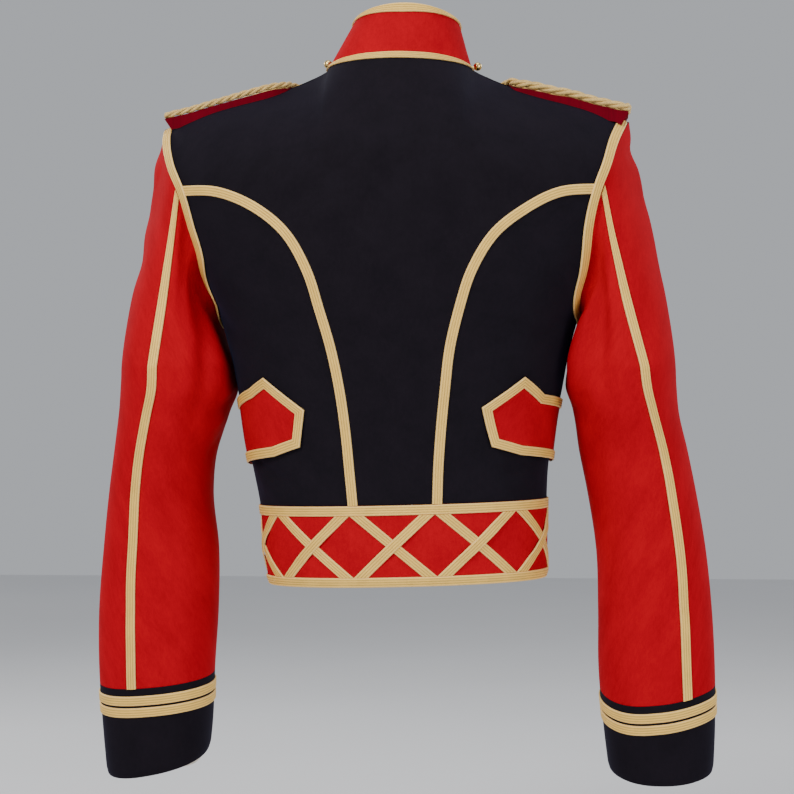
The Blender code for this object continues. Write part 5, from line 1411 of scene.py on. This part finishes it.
# ------------------------------------------------------------------------------------ collar
@dataclass
class Collar:
    """The stand collar and its two braids."""

    shop: Workshop
    trunk: Trunk
    top_half_width: float = 0.0525
    top_sway: float = -0.007
    top_back: tuple[float, float] = (0.05, 0.0575)
    top_front: tuple[float, float] = (-0.068, -0.006)
    top_side_height: float = 0.042
    foot_lift: float = 0.0001
    split: float = 0.0008
    wall: float = 0.0025
    braid_width: float = 0.0096
    base_width: float = 0.0062
    tall: float = 0.0555
    round_scale: float = 0.066
    braid_height: float = 0.0013
    relief: Relief = Relief((
        Crease(((0.018, 0.004), (0.021, 0.022), (0.019, 0.04)), -0.0006, 0.006, 0.7),
        Crease(((-0.02, 0.004), (-0.024, 0.02), (-0.021, 0.038)), -0.0006, 0.0065, 0.7),
        Crease(((0.046, 0.006), (0.052, 0.022), (0.05, 0.034)), -0.0007, 0.006, 0.5),
        Crease(((-0.044, 0.006), (-0.05, 0.02), (-0.048, 0.036)), -0.0006, 0.006, 0.5),
        Crease(((0.092, 0.006), (0.096, 0.022), (0.093, 0.036)), -0.0006, 0.007, 0.5),
        Crease(((-0.094, 0.006), (-0.097, 0.024), (-0.095, 0.036)), -0.0006, 0.007, 0.5),
    ))

    def turns(self) -> Points:
        """Radians round the neck, centre back 0, from the right of the centre front to the left."""
        back = np.linspace(0.0, np.pi / 2, 41)
        end = np.pi - math.asin(self.split / 2 / self.trunk.neck_half_width)
        half = np.concatenate([back, np.linspace(np.pi / 2, end, 41)[1:]])
        return np.concatenate([-half[:0:-1], half])

    def grid(self, shares: Points, lift: float = 0.0) -> tuple[Points, Points]:
        """Returns: points and normals of the collar at these shares of its height."""
        turns = self.turns()
        sine, cosine = np.sin(turns), np.cos(turns)
        front = cosine < 0
        end_back, end_height = self.trunk.top(self.trunk.neck_half_width * sine * 0.99999, front)
        base = np.stack([self.trunk.neck_half_width * sine, end_back, end_height + self.foot_lift], axis=1)
        depth = np.where(front, -self.top_front[0], self.top_back[0])
        middle = np.where(front, self.top_front[1], self.top_back[1])
        rise = self.top_side_height + (middle - self.top_side_height) * np.abs(cosine) ** 1.3
        across = self.top_half_width * sine + self.top_sway * (1.0 - ease(-cosine, 0.0, 1.0))
        top = np.stack([across, depth * cosine, rise], axis=1)
        top[[0, -1], 0] = np.array([-1.0, 1.0]) * self.split / 2
        shares = np.asarray(shares, float)
        shares = shares[:, None, None] if shares.ndim == 1 else shares[..., None]
        normals = grid_normals(np.stack([base, top]))[:1]
        plain = base[None] + (top - base)[None] * shares
        form = self.relief.at(turns[None] * self.round_scale, shares[..., 0] * self.tall)
        return plain + normals * (form + lift)[..., None], np.broadcast_to(normals, plain.shape)

    def build(self) -> None:
        """Makes the collar's pieces."""
        grid, _ = self.grid(np.linspace(0.0, 1.0, 22))
        self.shop.cloth("collar", grid, "red_wool", self.wall, inside=(0.0, -0.008), round_edge=0.0006)
        side = np.abs(np.sin(self.turns()))
        spans = {
            "collar_braid_top": (1.0 - (self.braid_width - 0.007 * side**1.5) / self.tall, 0.998),
            "collar_braid_base": (-0.006, (self.base_width - 0.0048 * side**5) / self.tall),
        }
        for name, (low, high) in spans.items():
            base, out = self.grid(low + (high - low) * np.linspace(0.0, 1.0, BRAID_COLUMNS)[:, None])
            base, out = np.swapaxes(base, 0, 1), np.swapaxes(out, 0, 1)
            self.shop.flat_braid(name, base, out, 0.0004, self.braid_height, ribs=4 if "top" in name else 2)


# ------------------------------------------------------------------------------------ waistband
@dataclass
class Waistband:
    """The waistband, its edge braids and the braids that cross on it."""

    shop: Workshop
    trunk: Trunk
    waist: float = -0.432
    hem: float = -0.511
    split: float = 0.0008
    lift: float = 0.0005
    wall: float = 0.0025
    braid_width: float = 0.0096
    braid_height: float = 0.0012
    crossing_width: float = 0.01
    crossings: int = 9
    shift: float = 0.004
    gather: float = 0.009
    tuck: float = -0.0001
    round_under: float = 0.0016

    def angles(self, count: int = 260) -> Points:
        """Angles round the band, from the right of the centre front to the left."""
        gap = self.split / 2 / float(self.trunk.front_depth(self.waist))
        return np.linspace(-np.pi + gap, np.pi - gap, count + 1)

    def place(self, angle: Points, height: Points, lift: Points | float = 0.0) -> Points:
        """Returns: points on the band, which rounds under at the hem."""
        angle, height = paired(angle, height)
        under = self.round_under * (1.0 - ease(height, self.hem, self.hem + 0.009)) ** 1.6
        out = self.lift + np.asarray(lift, float) - under
        return self.trunk.plain(angle, height) + self.trunk.normal(angle, height) * out[..., None]

    def ring(self, low: float, high: float) -> tuple[Points, Points]:
        """Returns: the base and the normals of a braid round the band."""
        angle, height = self.angles()[:, None], np.linspace(low, high, BRAID_COLUMNS)[None]
        return self.place(angle, height), self.trunk.normal(angle, height)

    def crossing_strips(self, top: float, bottom: float) -> list[Strip]:
        """The straight braids between the edge braids, one of each pair over the other."""
        middle = (top + bottom) / 2
        repeat = self.trunk.girth(middle) / self.crossings
        angle_at = self.trunk.angles_round(middle)
        rise = (top - bottom) / 2
        slope = math.radians(38.0)
        for _ in range(20):
            wide = self.crossing_width / 2 / math.sin(slope)
            slope = math.atan2(rise, repeat / 2 - wide)
        run = rise / math.tan(slope)
        end = repeat * self.crossings / 2 - self.split / 2
        shares = np.linspace(-1.0 - self.tuck / rise, 1.0 + self.tuck / rise, 64)
        across = np.linspace(-1.0, 1.0, BRAID_COLUMNS) * wide
        strips = []
        for step in range(-(self.crossings // 2), self.crossings // 2 + 1):
            for hand in (1.0, -1.0):
                along = step * repeat + hand * shares[:, None] * run + across[None]
                height = np.broadcast_to(middle + rise * shares[:, None], along.shape)
                turn = along / end * np.pi
                warp = self.shift * np.cos(turn / 2) - self.gather * np.sin(turn)
                angle = angle_at(np.clip(along + warp, -end, end))
                base, out = self.place(angle, height), self.trunk.normal(angle, height)
                bridge = 1.0 - ease(np.abs(shares), 0.26, 0.6)
                lift = 0.0002 + (self.braid_height * 0.92 * bridge if hand < 0 else 0.0)
                strips.append(self.shop.strip(base, out, lift, self.braid_height))
        return strips

    def build(self) -> None:
        """Makes the waistband's pieces."""
        grid = self.place(self.angles()[None], np.linspace(self.waist - 0.0008, self.hem, 34)[:, None])
        self.shop.cloth("waistband", grid, "red_wool", self.wall, round_edge=0.0008)
        top, bottom = self.waist - 0.0003, self.hem + 0.0001
        for name, span in (
            ("waistband_braid_top", (top - self.braid_width, top)),
            ("waistband_braid_bottom", (bottom, bottom + self.braid_width)),
        ):
            self.shop.flat_braid(name, *self.ring(*span), 0.0003, self.braid_height)
        strips = self.crossing_strips(top - self.braid_width, bottom + self.braid_width)
        self.shop.braid("waistband_lattice", strips)


# ------------------------------------------------------------------------------------ waist flaps
FLAPS = {
    # (distance from the side towards the back, height): the back end, the lower edge, then the upper edge
    Side.LEFT: (
        (0.1305, -0.341), (0.1205, -0.375), (0.0885, -0.3835), (-0.0125, -0.393), (-0.104, -0.377),
        (-0.11, -0.343), (-0.07, -0.313), (-0.03, -0.333), (0.0175, -0.332), (0.0655, -0.321),
        (0.09, -0.3105),
    ),
    Side.RIGHT: (
        (0.1285, -0.339), (0.1135, -0.3765), (0.0805, -0.385), (-0.0295, -0.395), (-0.104, -0.377),
        (-0.11, -0.343), (-0.07, -0.313), (-0.03, -0.331), (-0.0025, -0.3325), (0.06, -0.327),
        (0.0895, -0.31),
    ),
}


@dataclass
class Flap:
    """One waist flap and the braid frame on it."""

    shop: Workshop
    trunk: Trunk
    side: Side
    ring_height: float = -0.35
    step: float = 0.0032
    stand_off: float = 0.0022
    lift: float = 0.0004
    wall: float = 0.001
    braid_width: float = 0.0094
    braid_height: float = 0.0013

    def __post_init__(self) -> None:
        """Measures round the body at the flap's height."""
        self.outline = np.array(FLAPS[self.side])
        self.angles = self.trunk.angles_round(self.ring_height)
        quarter = self.trunk.plain(np.linspace(0.0, np.pi / 2, 361), np.full(361, self.ring_height))
        self.to_side = float(run_lengths(quarter)[-1])

    def place(self, flat: Points, lift: float) -> Points:
        """Returns: points over (along, height) on the flap, whose lower edge stands away."""
        flat = np.asarray(flat)
        angle = self.angles(self.to_side - flat[..., 0]) * self.side.sign
        hang = ease(-flat[..., 1], 0.33, 0.396) * self.stand_off
        hang = hang * (1.0 - 0.6 * ease(np.abs(flat[..., 0] - 0.02), 0.04, 0.13))
        normal = self.trunk.normal(angle, flat[..., 1])
        return self.trunk.plain(angle, flat[..., 1]) + normal * (lift + hang)[..., None]

    def cloth_rows(self) -> Points:
        """The flap's (along, height) places, top to bottom, ends on the outline."""
        bottom, top = self.outline[1:5], np.concatenate([self.outline[5:], self.outline[:1]])
        marks = sorted({*top[:, 0], *bottom[:, 0]} - {bottom[0, 0], bottom[-1, 0]})
        fine = [marks[0]]
        for start, end in zip(marks, marks[1:]):
            steps = max(1, round((end - start) / self.step))
            fine += list(start + (end - start) * np.arange(1, steps + 1) / steps)
        shares = (np.array(fine) - fine[0]) / (fine[-1] - fine[0])
        top_row = np.stack([fine, np.interp(fine, top[:, 0], top[:, 1])], axis=1)
        low_along = bottom[-1, 0] + (bottom[0, 0] - bottom[-1, 0]) * shares
        low_row = np.stack([low_along, np.interp(low_along, bottom[::-1, 0], bottom[::-1, 1])], axis=1)
        return top_row + (low_row - top_row) * np.linspace(0.0, 1.0, 24)[:, None, None]

    @staticmethod
    def inset(outline: Points, distance: float) -> Points:
        """A closed outline moved inwards, with mitred corners."""
        before, after = np.roll(outline, 1, axis=0), np.roll(outline, -1, axis=0)
        first, second = unit(outline - before), unit(after - outline)
        area = (outline[:, 0] * after[:, 1] - outline[:, 1] * after[:, 0]).sum()
        hand = 1.0 if area > 0 else -1.0
        inward_a = np.stack([-first[:, 1], first[:, 0]], axis=1) * hand
        inward_b = np.stack([-second[:, 1], second[:, 0]], axis=1) * hand
        bisector = unit(inward_a + inward_b)
        stretch = 1.0 / np.maximum((bisector * inward_a).sum(axis=1), 0.4)
        return outline + bisector * (distance * stretch)[:, None]

    def build(self) -> None:
        """Makes the flap and its braid."""
        grid = self.place(self.cloth_rows(), self.lift + self.wall)
        self.shop.cloth(
            "flap_" + self.side.label, grid, "red_wool", self.wall, held="hung", round_edge=0.0003,
            rests_on=("side_back_" + self.side.label, "front_" + self.side.label),
        )
        edge = self.inset(self.outline, -0.001)
        within = self.inset(edge, self.braid_width)
        flat = []
        for start in range(len(edge)):
            end = (start + 1) % len(edge)
            steps = max(3, round(float(np.linalg.norm(edge[end] - edge[start])) / 0.0026))
            for share in np.arange(steps) / steps:
                outer = edge[start] + (edge[end] - edge[start]) * share
                inner = within[start] + (within[end] - within[start]) * share
                flat.append(outer + (inner - outer) * np.linspace(0.0, 1.0, BRAID_COLUMNS)[:, None])
        flat = np.stack(flat)
        base = self.place(flat, self.lift + self.wall)
        out = unit(self.place(flat, self.lift + self.wall + 0.001) - base)
        self.shop.flat_braid("flap_braid_" + self.side.label, base, out, 0.0003, self.braid_height, loop=True)


# ------------------------------------------------------------------------------------ epaulettes
@dataclass(frozen=True)
class BoardForm:
    """The shape of one shoulder board and its cord.

    rows: across, half width, middle line (+ to the back), height of the rim's top. foot_end: how far
    across the underside ends. braid: where the armhole's braid begins and ends under it.
    """

    rows: tuple[tuple[float, float, float, float], ...]
    foot_end: float
    braid: tuple[float, float]
    cord_radius: float
    lay: float


BOARDS = {
    Side.LEFT: BoardForm(
        rows=(
            (0.099, 0.004, -0.02, -0.0206), (0.1055, 0.008, -0.018, -0.02),
            (0.1125, 0.015, -0.0095, -0.0203), (0.12, 0.018, -0.006, -0.0213),
            (0.127, 0.0195, -0.004, -0.0228), (0.144, 0.0215, -0.002, -0.0277),
            (0.167, 0.0225, -0.001, -0.034), (0.19, 0.0235, 0.0, -0.0405),
            (0.2115, 0.025, 0.0005, -0.047), (0.2257, 0.0253, 0.0, -0.05),
            (0.2335, 0.0255, 0.0, -0.0521),
        ),
        foot_end=0.2262, braid=(0.218, 0.226), cord_radius=0.0031, lay=0.03,
    ),
    Side.RIGHT: BoardForm(
        rows=(
            (0.099, 0.004, -0.02, -0.0236), (0.1055, 0.008, -0.018, -0.0232),
            (0.1125, 0.015, -0.0095, -0.0228), (0.1255, 0.018, -0.005, -0.0235),
            (0.1345, 0.0195, -0.0035, -0.0256), (0.1465, 0.021, -0.002, -0.0287),
            (0.1535, 0.0215, -0.0015, -0.0306), (0.168, 0.0225, -0.001, -0.0331),
            (0.181, 0.023, 0.0, -0.0368), (0.194, 0.024, 0.0, -0.0409),
            (0.2065, 0.0262, 0.0, -0.0439), (0.219, 0.0295, 0.0, -0.0474),
            (0.2275, 0.0305, 0.0, -0.0489),
        ),
        foot_end=0.22, braid=(0.207, 0.215), cord_radius=0.004, lay=0.044,
    ),
}


@dataclass
class Epaulette:
    """One padded shoulder board with a twisted cord round its upper rim."""

    shop: Workshop
    trunk: Trunk
    side: Side
    clearance: float = 0.0003
    over_braid: float = 0.0029
    least: float = 0.0011
    crown: float = 0.0015
    cord_seat: float = 0.0005
    strands: int = 3
    strand_sides: int = 10
    packing: float = 2.155

    def __post_init__(self) -> None:
        """Picks this side's form."""
        self.form = BOARDS[self.side]

    def floor(self, across: float, back: float) -> float:
        """Height of the body's surface over a point of the plan, near the shoulder seam."""
        ridge = float(self.trunk.ridge(abs(across)))
        heights = np.linspace(ridge, ridge - 0.06, 200)
        angles = self.trunk.angle_at(np.full(len(heights), abs(across)), heights, back < 0)
        return float(np.interp(abs(back), np.abs(self.trunk.plain(angles, heights)[:, 1]), heights))

    def board(self) -> Points:
        """The padded board; returns its upper grid."""
        keys = [row[0] for row in self.form.rows]
        half_width, middle, rim = (
            Smooth(keys, [row[place] for row in self.form.rows]) for place in (1, 2, 3)
        )
        spans = np.linspace(keys[0], keys[-1], 48)
        sweep = np.sin(np.linspace(np.pi / 2, -np.pi / 2, 25))
        shrink = (self.form.foot_end - keys[0]) / (keys[-1] - keys[0])
        upper, lower = [], []
        for across in spans:
            foot = keys[0] + (across - keys[0]) * shrink
            clear = self.clearance + self.over_braid * float(ease(foot, *self.form.braid))
            for share in sweep:
                back = float(middle(across)) + share * float(half_width(across))
                floor = self.floor(foot, back) + clear
                crown = float(rim(across)) + self.crown * (1.0 - share**2)
                lower.append((foot * self.side.sign, back, floor))
                upper.append((across * self.side.sign, back, max(crown, floor + self.least)))
        rows, columns = len(spans), len(sweep)
        upper_grid, lower_grid = (np.array(grid).reshape(rows, columns, 3) for grid in (upper, lower))
        index = np.arange(rows * columns).reshape(rows, columns)
        quads = quads_of(index)
        count = rows * columns
        rim = np.concatenate([index[:, 0], index[-1, 1:], index[-2::-1, -1], index[0, -2:0:-1]])
        after = np.roll(rim, -1)
        walls = np.stack([rim, after, after + count, rim + count], axis=1)
        faces = [tuple(q) for q in quads.tolist()] + [tuple(q + count)[::-1] for q in quads]
        faces += [tuple(wall)[::-1] for wall in walls.tolist()]
        points = np.concatenate([upper_grid.reshape(-1, 3), lower_grid.reshape(-1, 3)])
        name = "epaulette_" + self.side.label
        piece = self.shop.mesh(name + "_pad", points, faces, points[:, :2], "red_wool", 70.0)
        # painted shade: the board takes the darker, shaded copy of the red wool instead of the plain red
        piece.data.materials[0] = self.shop.finishes.board_red
        soft = piece.modifiers.new("rounded rim", "BEVEL")
        soft.limit_method = "ANGLE"
        soft.angle_limit = math.radians(50.0)
        soft.width = 0.0016
        soft.segments = 3
        soft.use_clamp_overlap = True
        self.shop.declare(piece, [name], "red_wool")
        return upper_grid

    def cord(self, upper: Points) -> None:
        """Three strands twisted round the board's rim."""
        rim = np.concatenate([upper[:, 0], upper[-1, 1:-1], upper[::-1, -1], upper[0, -2:0:-1]])
        inward = upper.reshape(-1, 3).mean(axis=0) - rim
        inward[:, 2] = 0.0
        radius = self.form.cord_radius
        rim = resampled(rim + unit(inward) * radius * 0.4, 0.0016, closed=True)
        for _ in range(14):
            rim = (np.roll(rim, 1, axis=0) + rim * 2 + np.roll(rim, -1, axis=0)) / 4
        rim[:, 2] += radius + self.cord_seat
        path = resampled(rim, 0.0008, closed=True)
        tangent = unit(np.roll(path, -1, axis=0) - np.roll(path, 1, axis=0))
        aside = unit(np.cross(tangent, np.array([0.0, 0.0, 1.0])))
        upward = np.cross(aside, tangent)
        along = run_lengths(np.concatenate([path, path[:1]]))
        turns = max(1, round(along[-1] / self.form.lay))
        strand = radius / self.packing
        offset = radius - strand
        sides = self.strand_sides
        pieces = []
        for number in range(self.strands):
            phase = 2 * np.pi * (turns * along[:-1] / along[-1] + number / self.strands)
            centre = path + offset * (np.cos(phase)[:, None] * aside + np.sin(phase)[:, None] * upward)
            heading = unit(np.roll(centre, -1, axis=0) - np.roll(centre, 1, axis=0))
            outward = unit(centre - path)
            sideways = unit(np.cross(heading, outward))
            outward = np.cross(sideways, heading)
            ring = np.linspace(0.0, 2 * np.pi, sides, endpoint=False)[None, :, None]
            points = centre[:, None] + strand * 1.08 * (
                np.cos(ring) * outward[:, None] + np.sin(ring) * sideways[:, None]
            )
            points = np.concatenate([points, points[:1]])
            rows = len(points)
            uvs = np.stack(np.broadcast_arrays(np.arange(sides)[None] / sides, along[:, None]), axis=-1)
            faces = [
                (row * sides + spot, row * sides + (spot + 1) % sides,
                 (row + 1) * sides + (spot + 1) % sides, (row + 1) * sides + spot)
                for row in range(rows - 1)
                for spot in range(sides)
            ]
            pieces.append((points.reshape(-1, 3), faces, uvs.reshape(-1, 2)))
        self.shop.braid("epaulette_cord_" + self.side.label, pieces, slot="gold_cord")

    def build(self) -> None:
        """Makes the board and its cord."""
        self.cord(self.board())


# ------------------------------------------------------------------------------------ buttons
@dataclass
class Buttons:
    """Ball buttons: seven down the front, and one at each end of the collar's foot."""

    shop: Workshop
    trunk: Trunk
    collar: Collar
    count: int = 7
    highest: float = -0.078
    lowest: float = -0.408
    front_radius: float = 0.007
    neck_radius: float = 0.0043
    seat_lift: float = 0.003

    def ball(self, node: str, seat: Points, outward: Points, radius: float) -> None:
        """One ball on a short shank, standing on its seat."""
        outward = unit(np.asarray(outward, float))
        turn = Vector((0.0, 0.0, 1.0)).rotation_difference(Vector(outward.tolist())).to_euler()
        neck = radius * 0.3
        bpy.ops.object.select_all(action="DESELECT")
        middle = seat + outward * (neck + radius)
        bpy.ops.mesh.primitive_uv_sphere_add(
            segments=36, ring_count=22, radius=radius, location=middle.tolist(), rotation=turn
        )
        ball = bpy.context.active_object
        stem = seat + outward * (neck * 0.75)
        bpy.ops.mesh.primitive_cylinder_add(
            vertices=24, radius=radius * 0.42, depth=neck * 1.5, location=stem.tolist(), rotation=turn
        )
        shank = bpy.context.active_object
        ball.select_set(True)
        shank.select_set(True)
        bpy.context.view_layer.objects.active = ball
        bpy.ops.object.join()
        bpy.ops.object.transform_apply(location=True, rotation=True, scale=True)
        bpy.ops.object.shade_smooth_by_angle(angle=math.radians(40.0))
        ball.name = node + "_ball"
        ball.data.materials.clear()
        ball.data.materials.append(self.shop.finishes.slots["brass"])
        self.shop.declare(ball, [node], "brass")

    def build(self) -> None:
        """Makes all the buttons."""
        for number, height in enumerate(np.linspace(self.highest, self.lowest, self.count), 1):
            angle, height = np.array([np.pi]), np.array([height])
            seat = self.trunk.point(angle, height, self.seat_lift)[0]
            self.ball(f"front_button_{number}", seat, self.trunk.normal(angle, height)[0], self.front_radius)
        turns = self.collar.turns()
        for side, share in ((Side.LEFT, 0.175), (Side.RIGHT, 0.125)):
            grid, normals = self.collar.grid(np.array([share]))
            at = int(np.argmin(np.abs(turns - side.sign * (np.pi / 2 + 0.1))))
            seat = grid[0, at] + normals[0, at] * 0.0016
            self.ball("neck_button_" + side.label, seat, normals[0, at], self.neck_radius)


# ------------------------------------------------------------------------------------ the studio
@dataclass(frozen=True)
class Lamp:
    """One soft lamp: where it hangs, where it points, its size, power and colour."""

    name: str
    place: tuple[float, float, float]
    aim: tuple[float, float, float]
    size: float
    power: float
    colour: tuple[float, float, float] = (1.0, 1.0, 1.0)


@dataclass
class Studio:
    """Plain pale floor and backdrop, soft lamps and the camera."""

    azimuth: float = 184.5
    distance: float = 2.5
    camera_height: float = -0.315
    aim: tuple[float, float, float] = (0.003, 0.0002, -0.329)
    lens: float = 113.35
    floor_height: float = -0.86
    floor_size: float = 9.0
    lamps: tuple[Lamp, ...] = (
        Lamp("key", (1.5, 2.1, 1.5), (0.0, 0.0, -0.3), 1.3, 70.0, (1.0, 0.98, 0.95)),
        Lamp("fill", (-1.9, 1.9, 0.4), (0.0, 0.0, -0.4), 1.6, 32.0, (0.95, 0.97, 1.0)),
        Lamp("rim left", (1.5, -1.3, 0.5), (0.2, 0.0, -0.35), 0.9, 12.0),
        Lamp("rim right", (-1.6, -1.2, 0.6), (-0.2, 0.0, -0.35), 0.9, 12.0),
        Lamp("top", (0.0, 0.3, 2.2), (0.0, 0.0, -0.2), 1.6, 20.0),
    )

    def build(self) -> None:
        """Makes the floor, the world, the lamps and the camera."""
        self.floor()
        self.world()
        for lamp in self.lamps:
            self.lamp(lamp)
        self.camera()

    def floor(self) -> None:
        """A wide pale floor."""
        bpy.ops.object.select_all(action="DESELECT")
        bpy.ops.mesh.primitive_plane_add(size=self.floor_size, location=(0.0, 0.0, self.floor_height))
        plane = bpy.context.active_object
        plane.name = "floor"
        bpy.ops.object.transform_apply(location=True, rotation=True, scale=True)
        graph = Graph("pale floor")
        cloud = graph.noise(graph.object_place(), 1.5, 2.0)
        colour = graph.blend(cloud, (0.66, 0.66, 0.67), (0.72, 0.72, 0.73))
        plane.data.materials.append(graph.settle(Base_Color=colour, Roughness=0.8, Specular_IOR_Level=0.2))

    def world(self) -> None:
        """Even pale light from all round."""
        world = bpy.data.worlds.new("studio air")
        world.use_nodes = True
        background = world.node_tree.nodes["Background"]
        background.inputs["Color"].default_value = (0.8, 0.83, 0.88, 1.0)
        background.inputs["Strength"].default_value = 0.55
        bpy.context.scene.world = world

    @staticmethod
    def lamp(lamp: Lamp) -> None:
        """Hangs one lamp."""
        light = bpy.data.lights.new(lamp.name, "AREA")
        light.energy = lamp.power
        light.shape = "DISK"
        light.size = lamp.size
        light.color = lamp.colour
        holder = bpy.data.objects.new(lamp.name, light)
        holder.location = lamp.place
        towards = Vector(lamp.aim) - Vector(lamp.place)
        holder.rotation_euler = towards.to_track_quat("-Z", "Y").to_euler()
        bpy.context.scene.collection.objects.link(holder)

    def camera(self) -> None:
        """The camera at the photograph's angle."""
        turn = math.radians(self.azimuth)
        ahead = Vector((-math.sin(turn), math.cos(turn), 0.0))
        lens = bpy.data.cameras.new("camera")
        lens.lens = self.lens
        lens.sensor_width = 36.0
        lens.clip_end = 50.0
        holder = bpy.data.objects.new("camera", lens)
        aim = Vector(self.aim)
        holder.location = aim - ahead * self.distance
        holder.location.z = self.camera_height
        holder.rotation_euler = (aim - holder.location).to_track_quat("-Z", "Y").to_euler()
        bpy.context.scene.collection.objects.link(holder)
        bpy.context.scene.camera = holder


def main() -> None:
    """Makes the jacket and the studio."""
    logging.basicConfig(level=logging.INFO, format="%(name)s: %(message)s")
    Studio().build()
    trunk = Trunk()
    seams = Seams(trunk)
    shop = Workshop(Finishes())
    Body(shop, trunk, seams).build()
    for side, form in ((Side.LEFT, LEFT_SLEEVE), (Side.RIGHT, RIGHT_SLEEVE)):
        Sleeve(shop, seams, side, form).build()
    collar = Collar(shop, trunk)
    collar.build()
    Waistband(shop, trunk).build()
    for side in Side:
        Flap(shop, trunk, side).build()
        Epaulette(shop, trunk, side).build()
    Buttons(shop, trunk, collar).build()
    for cut in shop.cuts:
        LOG.info("cut of %s", cut)


if __name__ == "__main__":
    main()
